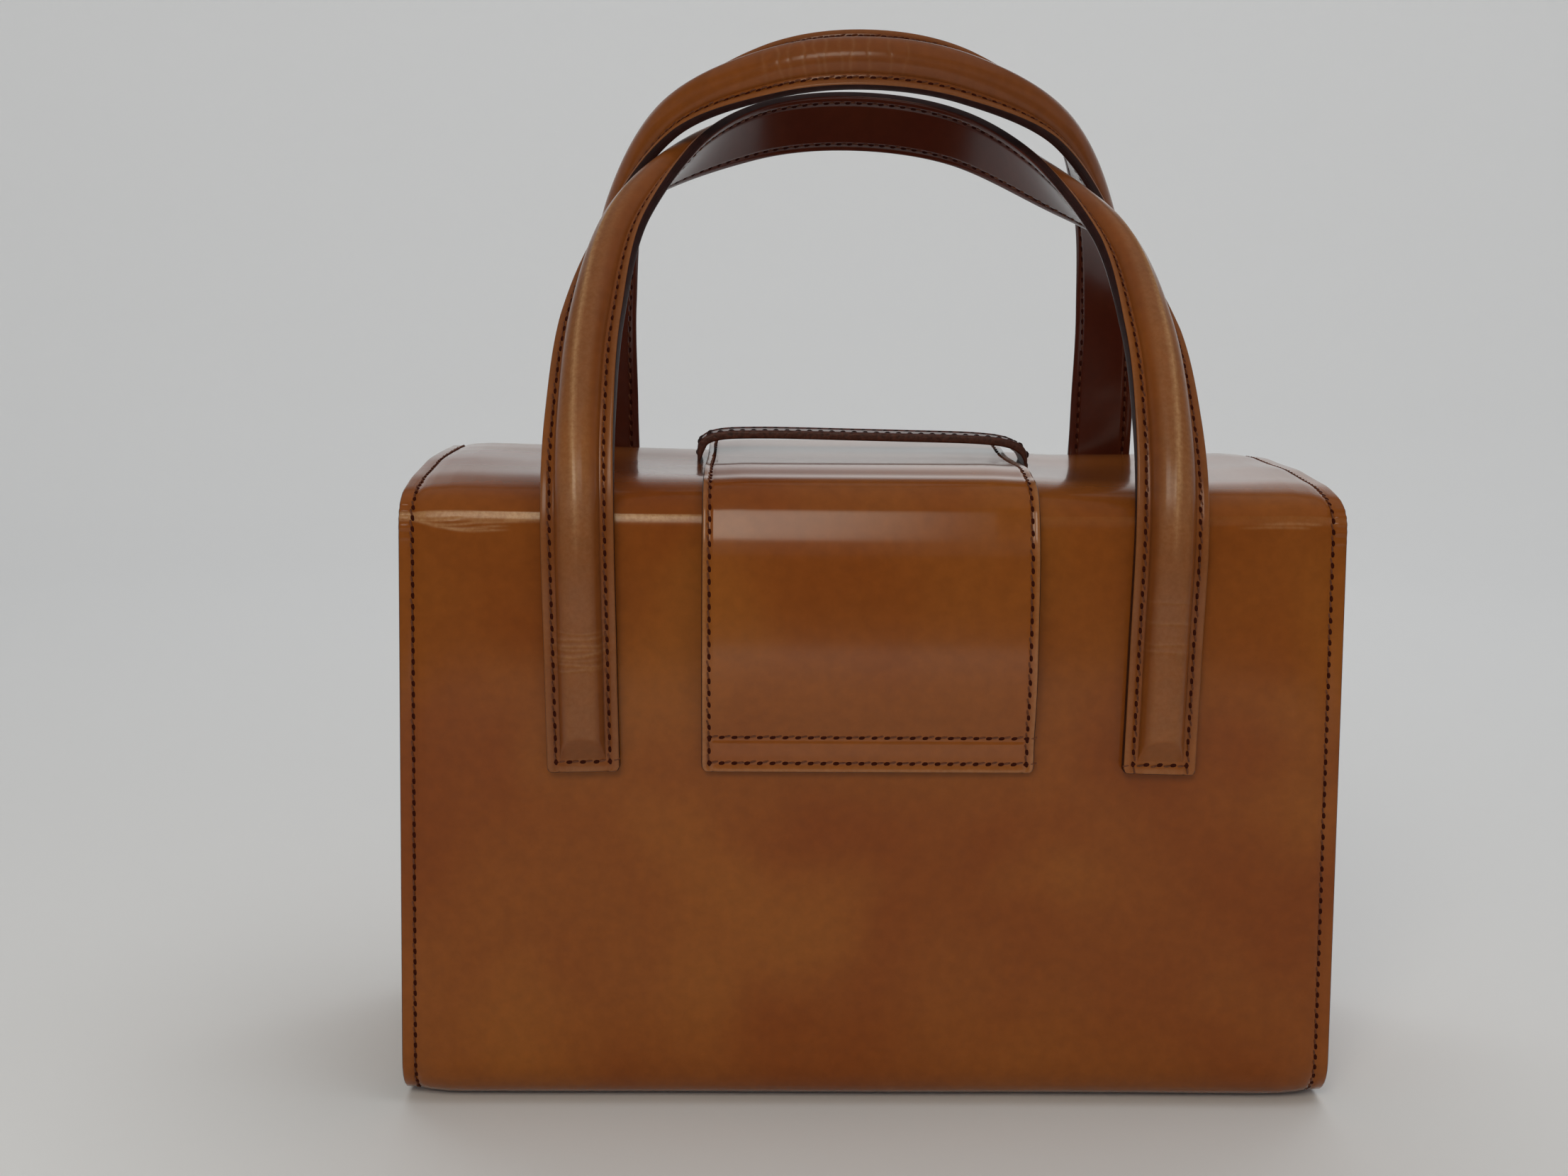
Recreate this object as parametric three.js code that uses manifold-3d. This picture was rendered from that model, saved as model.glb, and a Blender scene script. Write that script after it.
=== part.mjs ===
// Leather handbag standing on its base. Millimetres, Z up, the back of the bag faces -Y.
import * as THREE from "three";
import Module from "manifold-3d";

const wasm = await Module();
wasm.setup();

// Body sizes
const HALF_BASE = 125;
const HALF_TOP = 123;
const HALF_DEPTH = 52;
const CREASE_Z = 159;
const BASE_RADIUS = 13;
const WALL = 2.4;
const GAP = 0.3;
const LID_SEAM = 0.6;
const LID_STEPS = 3;
const ARC_STEPS = 6;

// The sewn side margins are pressed flatter than the padded middle
const PRESSED_BY = 1.3;
const PRESSED_ROWS = [
  { fromEdge: 0, share: 1 },
  { fromEdge: 3.5, share: 0.95 },
  { fromEdge: 7, share: 0.45 },
  { fromEdge: 12, share: 0.1 },
  { fromEdge: 18, share: 0 },
];

// Lid section: distance in from the back face and rise above the crease
const LID_ROWS = [
  { inward: 0, rise: 0 },
  { inward: 4, rise: 4 },
  { inward: 11, rise: 7.2 },
  { inward: 23, rise: 9.6 },
  { inward: 42, rise: 11.4 },
  { inward: 66, rise: 12.2 },
  { inward: 87, rise: 12.1 },
  { inward: 97, rise: 10.2 },
  { inward: 102, rise: 6 },
  { inward: 104, rise: 1 },
];

// Gussets
const GUSSET_WALL = 1.8;
const GUSSET_INSET = 9;
const GUSSET_FOLD = 12;
const GUSSET_COLUMNS = 12;
const GUSSET_FLANGE_TOP = 150;
const EDGE_STEP = 0.4;
const PANEL_EMBED = 0.1;

// Closure tab, its keeper and its snap
const TAB_HALF_WIDTH = 43.5;
const TAB_WALL = 2.7;
const TAB_BACK_END = 93;
const TAB_FRONT_END = 104;
const TAB_CENTRE_X = -1;
const TAB_DROP_START = 4;
const TAB_DROP_FULL = 32;
const TAB_DROP_STEPS = 5;
const TAB_CORNER = 1.8;
const TAB_CORNER_ROWS = [
  { fromEnd: 0, narrower: 1 },
  { fromEnd: 0.3, narrower: 0.25 },
  { fromEnd: 1, narrower: 0 },
];
const KEEPER_WALL = 2.4;
const KEEPER_NEAR_Y = 10;
const KEEPER_FAR_Y = 25;
const KEEPER_HALF_WIDTH = 47.9;
const KEEPER_TOP_Z = 178.2;
const KEEPER_SHOULDER = 5.5;
const KEEPER_CROWN = 0.5;
const CROWN_HALFWAY = 0.75;
const KEEPER_FOOT_GAP = 0.4;
const SNAP_RADIUS = 8;
const SNAP_HEIGHT = 2.4;
const SNAP_Z = 119;
const SNAP_SIDES = 24;

// Handles: a flat strap with a padded ridge and a flat lining under it
const STRAP_HALF_WIDTH = 9.45;
const FLANGE_WALL = 1.4;
const LINING_WALL = 1.2;
const RIDGE_HALF_WIDTH = 5.9;
const RIDGE_HEIGHT = 4.6;
const RIDGE_START = 3;
const RIDGE_FULL = 9.5;
const RIDGE_STEPS = 6;
const RIDGE_SQUARENESS = 0.8;
const HANDLE_STEPS = 3;

// Half of each handle from its sewn end to the top: out from the middle, inward from the panel,
// height, and the turn of the padded side from facing outwards towards facing up
const BACK_HANDLE_ROWS = [
  { out: 75.2, inward: 0, up: 93, turn: 0 },
  { out: 75.9, inward: 0, up: 126, turn: 0 },
  { out: 76.5, inward: 0, up: 159, turn: 0 },
  { out: 76.5, inward: 9.5, up: 184, turn: 14 },
  { out: 74.3, inward: 25, up: 210, turn: 31 },
  { out: 67, inward: 46, up: 234, turn: 64 },
  { out: 51, inward: 69, up: 251, turn: 110 },
  { out: 28, inward: 86, up: 264.5, turn: 134 },
  { out: 0, inward: 91, up: 268.5, turn: 141 },
];
const FRONT_HANDLE_ROWS = [
  { out: 74.6, inward: 0, up: 93, turn: 0 },
  { out: 75.3, inward: 0, up: 126, turn: 0 },
  { out: 76, inward: 0, up: 159, turn: 0 },
  { out: 76.5, inward: 2.5, up: 184, turn: 16 },
  { out: 75.5, inward: 9, up: 214, turn: 39 },
  { out: 69, inward: 21.5, up: 243, turn: 75 },
  { out: 54, inward: 38, up: 266, turn: 113 },
  { out: 27.5, inward: 51, up: 278, turn: 141 },
  { out: 0, inward: 55, up: 281.5, turn: 149 },
];

// Height gained at the top for each millimetre to the left, because the worn handles sway
const BACK_HANDLE_SWAY = 0.035;
const FRONT_HANDLE_SWAY = 0.02;

const LEATHER = { color: 0x6e3e1e, roughness: 0.3, metalness: 0 };
const LINING_LEATHER = { color: 0x4a2714, roughness: 0.45, metalness: 0 };
const SNAP_METAL = { color: 0x8a7448, roughness: 0.35, metalness: 1 };

const halfWidthAt = (z) => HALF_BASE + ((HALF_TOP - HALF_BASE) * z) / CREASE_Z;

// Smooth curve through one column of a table, and its slope
function along(values, t) {
  const last = values.length - 1;
  const i = Math.min(Math.floor(t), last - 1);
  const u = t - i;
  const p1 = values[i];
  const p2 = values[i + 1];
  const p0 = i > 0 ? values[i - 1] : 2 * p1 - p2;
  const p3 = i + 2 <= last ? values[i + 2] : 2 * p2 - p1;
  const a = 2 * p1;
  const b = p2 - p0;
  const c = 2 * p0 - 5 * p1 + 4 * p2 - p3;
  const d = 3 * p1 - p0 - 3 * p2 + p3;
  return {
    value: 0.5 * (a + b * u + c * u * u + d * u * u * u),
    slope: 0.5 * (b + 2 * c * u + 3 * d * u * u),
  };
}

// Unit normals of an open line in the Y-Z plane, to the left of its direction of travel
function normalsOf(line) {
  return line.map((p, i) => {
    const before = line[Math.max(i - 1, 0)];
    const after = line[Math.min(i + 1, line.length - 1)];
    const dir = new THREE.Vector2().subVectors(after, before).normalize();
    return new THREE.Vector2(-dir.y, dir.x);
  });
}

function offsetLine(line, distance) {
  const normals = normalsOf(line);
  return line.map((p, i) => p.clone().addScaledVector(normals[i], distance));
}

function arcPoints(centreX, centreY, radius, fromDeg, toDeg) {
  const points = [];
  for (let i = 0; i <= ARC_STEPS; i += 1) {
    const angle = THREE.MathUtils.degToRad(fromDeg + ((toDeg - fromDeg) * i) / ARC_STEPS);
    points.push(new THREE.Vector2(centreX + radius * Math.cos(angle), centreY + radius * Math.sin(angle)));
  }
  return points;
}

// Outer line of the wrap: down the front, under the base, up the back to the crease
function panelLine() {
  const side = HALF_DEPTH - BASE_RADIUS;
  const line = [new THREE.Vector2(HALF_DEPTH, CREASE_Z - LID_SEAM)];
  line.push(new THREE.Vector2(HALF_DEPTH, GUSSET_FLANGE_TOP));
  line.push(new THREE.Vector2(HALF_DEPTH, CREASE_Z / 2));
  line.push(...arcPoints(side, BASE_RADIUS, BASE_RADIUS, 0, -90));
  line.push(...arcPoints(-side, BASE_RADIUS, BASE_RADIUS, -90, -180));
  line.push(new THREE.Vector2(-HALF_DEPTH, CREASE_Z / 2));
  line.push(new THREE.Vector2(-HALF_DEPTH, GUSSET_FLANGE_TOP));
  return line;
}

// Outer line of the lid from the crease to its front edge
function lidLine() {
  const inward = LID_ROWS.map((row) => row.inward);
  const rise = LID_ROWS.map((row) => row.rise);
  const count = (LID_ROWS.length - 1) * LID_STEPS;
  const line = [];
  for (let i = 0; i <= count; i += 1) {
    const t = i / LID_STEPS;
    line.push(new THREE.Vector2(along(inward, t).value - HALF_DEPTH, along(rise, t).value + CREASE_Z));
  }
  return line;
}

function geometryOf(positions, triangles) {
  const geometry = new THREE.BufferGeometry();
  geometry.setAttribute("position", new THREE.Float32BufferAttribute(positions, 3));
  geometry.setIndex(triangles);
  geometry.computeVertexNormals();
  return geometry;
}

// Closed body from a row of rings with the same number of points, capped at both ends
function loftRings(rings) {
  const size = rings[0].length;
  const positions = rings.flat().flatMap((p) => [p.x, p.y, p.z]);
  const triangles = [];
  for (let r = 0; r + 1 < rings.length; r += 1) {
    for (let i = 0; i < size; i += 1) {
      const j = (i + 1) % size;
      const a = r * size + i;
      const b = r * size + j;
      const c = a + size;
      const d = b + size;
      triangles.push(a, b, d, a, d, c);
    }
  }
  return { positions, triangles, size };
}

function enclosedVolume(positions, triangles) {
  const corner = (k) => new THREE.Vector3().fromArray(positions, 3 * triangles[k]);
  let volume = 0;
  for (let k = 0; k < triangles.length; k += 3) {
    volume += corner(k).dot(corner(k + 1).cross(corner(k + 2))) / 6;
  }
  return volume;
}

// Closes both ends of a loft and turns its faces outwards
function capEnds(body, ringCount, capTriangles) {
  const last = (ringCount - 1) * body.size;
  for (const [a, b, c] of capTriangles) {
    body.triangles.push(c, b, a, last + a, last + b, last + c);
  }
  if (enclosedVolume(body.positions, body.triangles) < 0) {
    body.triangles.reverse();
  }
  return geometryOf(body.positions, body.triangles);
}

// Cap of a ring that runs along one line and back along another of the same length
function stripCap(size) {
  const triangles = [];
  for (let i = 0; i + 1 < size / 2; i += 1) {
    triangles.push([i, i + 1, size - 2 - i], [i, size - 2 - i, size - 1 - i]);
  }
  return triangles;
}

function bodyWrap() {
  const line = [...panelLine(), ...lidLine()];
  const normals = normalsOf(line);
  const columns = [
    ...PRESSED_ROWS.map((row) => ({ side: -1, ...row })),
    ...PRESSED_ROWS.map((row) => ({ side: 1, ...row })).reverse(),
  ];
  const rings = columns.map(({ side, fromEdge, share }) => {
    const place = (p, i, depth) => {
      const y = p.x + normals[i].x * depth;
      const z = p.y + normals[i].y * depth;
      return new THREE.Vector3(side * (halfWidthAt(p.y) - fromEdge), y, z);
    };
    const pressed = PRESSED_BY * share;
    const outer = line.map((p, i) => place(p, i, -pressed));
    const inner = line.map((p, i) => place(p, i, -pressed - WALL));
    return [...outer, ...inner.reverse()];
  });
  const body = loftRings(rings);
  return capEnds(body, rings.length, stripCap(body.size));
}

// Prism over a closed outline in the Y-Z plane, between two distances in from the side edge
function sidePrism(outline, side, near, far) {
  const turning = Math.sign(THREE.ShapeUtils.area(outline));
  const faces = THREE.ShapeUtils.triangulateShape(outline, []).map((face) => {
    const sameWay = Math.sign(THREE.ShapeUtils.area(face.map((k) => outline[k]))) === turning;
    return sameWay ? face : face.reverse();
  });
  const rings = [near, far].map((fromEdge) =>
    outline.map((p) => new THREE.Vector3(side * (halfWidthAt(p.y) - fromEdge), p.x, p.y)));
  const body = loftRings(rings);
  const geometry = capEnds(body, 2, faces);
  return solidOf(geometry);
}

function solidOf(geometry) {
  const mesh = new wasm.Mesh({
    numProp: 3,
    vertProperties: new Float32Array(geometry.attributes.position.array),
    triVerts: new Uint32Array(geometry.index.array),
  });
  return new wasm.Manifold(mesh);
}

function geometryFrom(solid) {
  const mesh = solid.getMesh();
  return geometryOf(Array.from(mesh.vertProperties), Array.from(mesh.triVerts));
}

// Height of a line in the Y-Z plane at a given Y, for a line that runs steadily along Y
function heightAt(line, y) {
  const k = line.findIndex((p, i) => i > 0 && (line[i - 1].x - y) * (p.x - y) <= 0);
  const share = (y - line[k - 1].x) / (line[k].x - line[k - 1].x);
  return THREE.MathUtils.lerp(line[k - 1].y, line[k].y, share);
}

// End panel from the base up to just under the lid, with a fold down its middle that deepens upwards
function gussetPanel(side, behindWrap) {
  const base = offsetLine(panelLine().filter((p) => p.y <= BASE_RADIUS), behindWrap);
  const lid = offsetLine(lidLine(), behindWrap - GAP);
  const reach = HALF_DEPTH + behindWrap - PANEL_EMBED;
  const rings = [];
  for (let i = 0; i <= GUSSET_COLUMNS; i += 1) {
    const y = reach * ((2 * i) / GUSSET_COLUMNS - 1);
    const bottom = heightAt(base, y);
    const top = heightAt(lid, THREE.MathUtils.clamp(y, lid[1].x, lid[lid.length - 2].x));
    const folded = GUSSET_INSET + GUSSET_FOLD * (1 - Math.abs(y) / reach);
    const at = (fromEdge, z) => new THREE.Vector3(side * (halfWidthAt(z) - fromEdge), y, z);
    rings.push([
      at(GUSSET_INSET, bottom),
      at(folded, top),
      at(folded + GUSSET_WALL, top),
      at(GUSSET_INSET + GUSSET_WALL, bottom),
    ]);
  }
  return solidOf(capEnds(loftRings(rings), rings.length, [[0, 1, 2], [0, 2, 3]]));
}

function gusset(side) {
  const behindWrap = -(PRESSED_BY + WALL + GAP);
  const flangeOuter = offsetLine(panelLine().filter((p) => p.y <= GUSSET_FLANGE_TOP), behindWrap);
  const flangeInner = offsetLine(flangeOuter, -GUSSET_WALL);
  const flange = [...flangeOuter, ...flangeInner.reverse()];
  const flangeBody = sidePrism(flange, side, EDGE_STEP, GUSSET_INSET + GUSSET_WALL);
  return geometryFrom(gussetPanel(side, behindWrap).add(flangeBody));
}

// Line under the tab: up the back, over the lid, down the front where it stands off for the snap
function tabLine() {
  const corner = TAB_CORNER_ROWS.map((row) => TAB_CORNER * row.fromEnd);
  const up = [...corner.map((e) => TAB_BACK_END + e), (TAB_BACK_END + CREASE_Z) / 2, GUSSET_FLANGE_TOP];
  const down = [];
  for (let i = 0; i <= TAB_DROP_STEPS; i += 1) {
    down.push(CREASE_Z - THREE.MathUtils.lerp(TAB_DROP_START, TAB_DROP_FULL, i / TAB_DROP_STEPS));
  }
  down.push(...corner.map((e) => TAB_FRONT_END + e).reverse());
  const line = [
    ...up.map((z) => new THREE.Vector2(-HALF_DEPTH, z)),
    ...lidLine(),
    ...down.map((z) => new THREE.Vector2(HALF_DEPTH, z)),
  ];
  const normals = normalsOf(line);
  const firstDown = line.length - down.length;
  return line.map((p, i) => {
    const drop = i < firstDown ? 0 : CREASE_Z - p.y;
    const share = THREE.MathUtils.smoothstep(drop, TAB_DROP_START, TAB_DROP_FULL);
    return p.clone().addScaledVector(normals[i], GAP + (SNAP_HEIGHT + GAP) * share);
  });
}

function closureTab() {
  const inner = tabLine();
  const outer = offsetLine(inner, TAB_WALL);
  const last = inner.length - 1;
  const insets = TAB_CORNER_ROWS.map((row) => TAB_CORNER * row.narrower);
  const rings = inner.map((p, i) => {
    const fromEnd = Math.min(i, last - i);
    const half = TAB_HALF_WIDTH - (insets[fromEnd] ?? 0);
    const left = TAB_CENTRE_X - half;
    const right = TAB_CENTRE_X + half;
    return [
      new THREE.Vector3(left, p.x, p.y),
      new THREE.Vector3(right, p.x, p.y),
      new THREE.Vector3(right, outer[i].x, outer[i].y),
      new THREE.Vector3(left, outer[i].x, outer[i].y),
    ];
  });
  return capEnds(loftRings(rings), rings.length, [[0, 1, 2], [0, 2, 3]]);
}

function tabKeeper() {
  const lidTop = CREASE_Z + Math.max(...LID_ROWS.map((row) => row.rise));
  const footZ = lidTop + KEEPER_FOOT_GAP;
  const shoulder = KEEPER_HALF_WIDTH - KEEPER_SHOULDER;
  const shoulderZ = KEEPER_TOP_Z - KEEPER_SHOULDER;
  const left = [new THREE.Vector2(-KEEPER_HALF_WIDTH, footZ)];
  left.push(...arcPoints(-shoulder, shoulderZ, KEEPER_SHOULDER, 180, 90));
  left.push(new THREE.Vector2(-shoulder / 2, KEEPER_TOP_Z + KEEPER_CROWN * CROWN_HALFWAY));
  const right = left.map((p) => new THREE.Vector2(-p.x, p.y)).reverse();
  const outer = [...left, new THREE.Vector2(0, KEEPER_TOP_Z + KEEPER_CROWN), ...right];
  const inner = offsetLine(outer, -KEEPER_WALL);
  inner[0].y = footZ;
  inner[inner.length - 1].y = footZ;
  const rings = outer.map((p, i) => [
    new THREE.Vector3(p.x, KEEPER_NEAR_Y, p.y),
    new THREE.Vector3(inner[i].x, KEEPER_NEAR_Y, inner[i].y),
    new THREE.Vector3(inner[i].x, KEEPER_FAR_Y, inner[i].y),
    new THREE.Vector3(p.x, KEEPER_FAR_Y, p.y),
  ]);
  return capEnds(loftRings(rings), rings.length, [[0, 1, 2], [0, 2, 3]]);
}

function tabSnap() {
  const geometry = new THREE.CylinderGeometry(SNAP_RADIUS, SNAP_RADIUS, SNAP_HEIGHT, SNAP_SIDES);
  geometry.translate(TAB_CENTRE_X, HALF_DEPTH + GAP + SNAP_HEIGHT / 2, SNAP_Z);
  return geometry;
}

// Stations of a whole handle. Face is -1 for the back handle and 1 for the front one
function handleStations(rows, face, sway) {
  const column = (name) => rows.map((row) => row[name]);
  const mirrored = (name, sign) => {
    const values = column(name);
    return [...values, sign * values[values.length - 2]];
  };
  const outs = mirrored("out", -1);
  const inwards = mirrored("inward", 1);
  const ups = mirrored("up", 1);
  const turns = mirrored("turn", 1);
  const start = HALF_DEPTH + 2 * GAP + LINING_WALL + GAP;
  const half = [];
  const count = (rows.length - 1) * HANDLE_STEPS;
  let travelled = 0;
  for (let i = 0; i <= count; i += 1) {
    const t = i / HANDLE_STEPS;
    const out = along(outs, t);
    const inward = along(inwards, t);
    const up = along(ups, t);
    const at = new THREE.Vector3(-out.value, inward.value - start, up.value);
    const dir = new THREE.Vector3(-out.slope, inward.slope, up.slope).normalize();
    const facing = new THREE.Vector3(0, -1, 0);
    facing.addScaledVector(dir, -facing.dot(dir)).normalize();
    const pad = facing.applyAxisAngle(dir, -THREE.MathUtils.degToRad(along(turns, t).value));
    const across = new THREE.Vector3().crossVectors(dir, pad);
    travelled += i > 0 ? at.distanceTo(half[i - 1].at) : 0;
    half.push({ at, pad, across, travelled });
  }
  const flip = (v) => new THREE.Vector3(-v.x, v.y, v.z);
  const mirror = half.slice(0, -1).reverse().map((s) => ({
    at: flip(s.at), pad: flip(s.pad), across: flip(s.across), travelled: s.travelled,
  }));
  const toFace = new THREE.Vector3(1, -face, 1);
  const topZ = rows[rows.length - 1].up;
  return [...half, ...mirror].map((s) => {
    const lift = -sway * s.at.x * THREE.MathUtils.smoothstep(s.at.z, CREASE_Z, topZ);
    return {
      at: s.at.multiply(toFace).add(new THREE.Vector3(0, 0, lift)),
      pad: s.pad.multiply(toFace),
      across: s.across.multiply(toFace),
      travelled: s.travelled,
    };
  });
}

function sweepStrap(stations, sectionAt) {
  const rings = stations.map((s) => sectionAt(s.travelled).map(([side, height]) =>
    s.at.clone().addScaledVector(s.across, side).addScaledVector(s.pad, height)));
  return capEnds(loftRings(rings), rings.length, stripCap(rings[0].length));
}

// Section of the padded strap: flat underside, flanges and a half-round ridge that slopes in at the ends
function coverSection(travelled) {
  const full = THREE.MathUtils.smoothstep(travelled, RIDGE_START, RIDGE_FULL);
  const upper = [[-STRAP_HALF_WIDTH, FLANGE_WALL]];
  for (let i = 0; i <= RIDGE_STEPS; i += 1) {
    const angle = Math.PI * (1 - i / RIDGE_STEPS);
    const height = FLANGE_WALL + RIDGE_HEIGHT * full * Math.sin(angle) ** RIDGE_SQUARENESS;
    upper.push([RIDGE_HALF_WIDTH * Math.cos(angle), height]);
  }
  upper.push([STRAP_HALF_WIDTH, FLANGE_WALL]);
  const lower = upper.map(([side]) => [side, 0]).reverse();
  return [...upper, ...lower];
}

// Section of the flat lining, with its points under those of the padded strap
function liningSection(travelled) {
  const cover = coverSection(travelled);
  const sides = cover.slice(cover.length / 2).map(([side]) => side);
  const upper = sides.map((side) => [side, -GAP]);
  const lower = sides.map((side) => [side, -GAP - LINING_WALL]).reverse();
  return [...upper, ...lower];
}

const root = new THREE.Group();
root.name = "handbag";

function add(name, geometry, look) {
  const mesh = new THREE.Mesh(geometry, new THREE.MeshStandardMaterial(look));
  mesh.name = name;
  mesh.material.name = name;
  root.add(mesh);
}

const backStations = handleStations(BACK_HANDLE_ROWS, -1, BACK_HANDLE_SWAY);
const frontStations = handleStations(FRONT_HANDLE_ROWS, 1, FRONT_HANDLE_SWAY);

add("body_wrap", bodyWrap(), LEATHER);
add("gusset_left", gusset(-1), LEATHER);
add("gusset_right", gusset(1), LEATHER);
add("closure_tab", closureTab(), LEATHER);
add("tab_keeper", tabKeeper(), LEATHER);
add("tab_snap", tabSnap(), SNAP_METAL);
add("handle_back_cover", sweepStrap(backStations, coverSection), LEATHER);
add("handle_back_lining", sweepStrap(backStations, liningSection), LINING_LEATHER);
add("handle_front_cover", sweepStrap(frontStations, coverSection), LEATHER);
add("handle_front_lining", sweepStrap(frontStations, liningSection), LINING_LEATHER);

export default root;
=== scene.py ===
import math

import bpy
import numpy as np
from mathutils import Matrix, Vector


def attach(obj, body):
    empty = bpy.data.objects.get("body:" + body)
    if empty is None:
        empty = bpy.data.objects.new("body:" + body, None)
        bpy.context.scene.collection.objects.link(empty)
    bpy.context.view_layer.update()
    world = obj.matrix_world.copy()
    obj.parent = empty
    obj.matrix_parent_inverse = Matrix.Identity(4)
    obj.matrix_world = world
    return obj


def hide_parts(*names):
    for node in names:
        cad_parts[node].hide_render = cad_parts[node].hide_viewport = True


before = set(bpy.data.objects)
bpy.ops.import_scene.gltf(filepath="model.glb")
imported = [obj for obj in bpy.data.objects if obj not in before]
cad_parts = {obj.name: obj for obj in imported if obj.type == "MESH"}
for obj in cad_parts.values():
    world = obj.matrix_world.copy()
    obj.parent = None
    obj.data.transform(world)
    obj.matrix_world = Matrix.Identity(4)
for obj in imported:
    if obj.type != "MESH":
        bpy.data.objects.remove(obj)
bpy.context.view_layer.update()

bl_info = {
    "name": "Leather Handbag",
    "version": (1, 0, 0),
    "blender": (4, 5, 0),
    "location": "View3D > Sidebar > Handbag",
    "description": "Builds a glazed leather handbag with sewn seams around its solid frame",
    "category": "Object",
}

MM = 0.001
BODY = "root"

# Sizes of the body, gussets, tab, loop, snap and straps in millimetres, with shares and powers
HALF_BASE = 125.0
HALF_TOP = 123.0
HALF_DEPTH = 52.0
CREASE_Z = 159.0
BASE_RADIUS = 13.0
WALL = 2.4
GAP = 0.3
LID_SEAM = 0.6
PRESSED_BY = 1.3
LIP_RADIUS = 9.0
LIP_TURN = 25.0
LIP_BELOW = 2.0
GUSSET_WALL = 1.8
GUSSET_INSET = 9.0
GUSSET_FOLD = 12.0
GUSSET_FOLD_ROUND = 0.06
GUSSET_TOP_DROP = 1.6
GUSSET_TOP_DROP_FROM = 30.0
FLANGE_TOP = 150.0
FLANGE_FADE = (18.0, 2.0)
FLANGE_WIDTH = 2.8
FLANGE_BEHIND_EDGE = 0.4
TAB_HALF_WIDTH = 43.5
TAB_WALL = 2.7
TAB_FRONT_END = 104.0
TAB_CORNER = 1.8
TAB_CENTRE_X = -1.0
TAB_DROP_START = 4.0
TAB_DROP_FULL = 32.0
TAB_STIFFNESS = 1.8
TAB_LIFT = 0.06
TAB_ONTO_LID = 2.0
TAB_FULLNESS = 0.35
TAB_FULL_IN = 12.0
TAB_FULL_FROM = (10.0, 22.0)
KEEPER_WALL = 2.4
KEEPER_CENTRE_Y = 17.5
KEEPER_HALF_WIDTH = 7.5
KEEPER_STIFFNESS = 0.8
KEEPER_LIP = 0.35
KEEPER_LIP_EDGE = 0.5
KEEPER_FOOT_SHARE = 0.3
KEEPER_FOOT_REACH = 6.0
SNAP_HEIGHT = 2.4
SNAP_Z = 119.0
STRAP_HALF_WIDTH = 9.45
STRAP_CORNER = 1.3
STRAP_WALL = 1.4
LINING_WALL = 1.2
LINING_THICKER = 0.5
LINING_LIFTS = (CREASE_Z - 14, CREASE_Z)
GLUE_GAP = 0.04
RIDGE_HALF_WIDTH = 5.9
RIDGE_HEIGHT = 4.6
RIDGE_CROWN = 0.12
RIDGE_CROWN_POWER = 8
RIDGE_SHOULDER_POWER = 0.6
LEG_FLATNESS = 3.8
ARCH_FLATNESS = 2.6
LEG_ENDS = (CREASE_Z - 15, CREASE_Z + 45)
RIDGE_START = 3.6
RIDGE_FULL = 9.7
RIDGE_BLEND = 0.06
RIDGE_SLOPE_MOST = 3.0

# How the wrap's margins are pressed down: distance in from the side edge, and share
PRESSED_ROWS = (
    (0.0, 1.0),
    (3.5, 0.95),
    (7.0, 0.45),
    (12.0, 0.1),
    (18.0, 0.0),
)

# Outside of the lid from the crease to its front edge: inward from the back, and up from the crease
LID_ROWS = (
    (1.05, 2.2),
    (3.2, 4.3),
    (6.5, 6.2),
    (10.5, 7.5),
    (16, 8.8),
    (20.5, 9.45),
    (26, 9.7),
    (34, 9.65),
    (44, 9.55),
    (56, 9.7),
    (64, 9.95),
    (72, 10.6),
    (80, 11.5),
    (88, 12.1),
    (94, 12.0),
    (98, 10.6),
    (102, 6.0),
    (104, -0.2),
)

# How the lid bends beside the tab: fuller ends, and a dip at the right
LID_EVEN_TO = 43.0
LID_WARP_REACH = 76.0
LID_WARP_POWER = 1.25
LID_DIP = 0.9
LID_DIP_REACH = 18.0
LID_DIP_FROM = (2.0, 26.0)
LID_DIP_ENDS = 10.0

# How the back sags and crinkles at the crease, and how the panels lie slack between their seams
CREASE_SAG = 1.2
CREASE_SAG_REACH = 8.0
CREASE_SAG_FADE = (50.0, 118.0)
CRINKLE_DEPTH = 0.14
CRINKLE_RATE = 2.4
CRINKLE_EDGE = 2.4
SLACK_EVEN = 0.5
SLACK_SWELL = 0.3
SLACK_FROM = (8.0, 24.0)
SWELL_ACROSS = 31.0
SWELL_ALONG = 39.0
SWELL_STARTS = (0.6, 0.4)
RIPPLE_SHARE = 0.6
RIPPLE_ACROSS = 17.0
RIPPLE_ALONG = 23.0

# How far the sewn side of the tab stands off the back panel, and the height there
TAB_STAND_OFF_ROWS = (
    (0.0, 93),
    (0.0, 103),
    (1.3, 107.5),
    (2.6, 113),
    (3.25, 118.5),
    (3.5, 124.5),
    (3.55, 131),
    (3.5, 138),
    (3.12, 146.5),
    (1.95, 153.5),
    (0.1, 159.3),
    (-0.9, 161.9),
    (-2.0, 163.6),
    (-4.2, 165.2),
    (-8.0, 166.7),
)

# How much fuller the lid is at its ends than in its middle: inward, left end, right end
LID_END_ROWS = (
    (0, 0.0, 0.0),
    (6.5, 0.9, 0.3),
    (16, 0.6, 0.0),
    (26, 1.2, 0.2),
    (36, 2.3, 1.1),
    (46, 3.4, 2.0),
    (56, 3.8, 2.1),
    (66, 3.7, 1.9),
    (76, 2.9, 1.3),
    (86, 2.0, 0.4),
    (94, 1.8, 0.0),
    (104, 0.0, 0.0),
)

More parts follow.
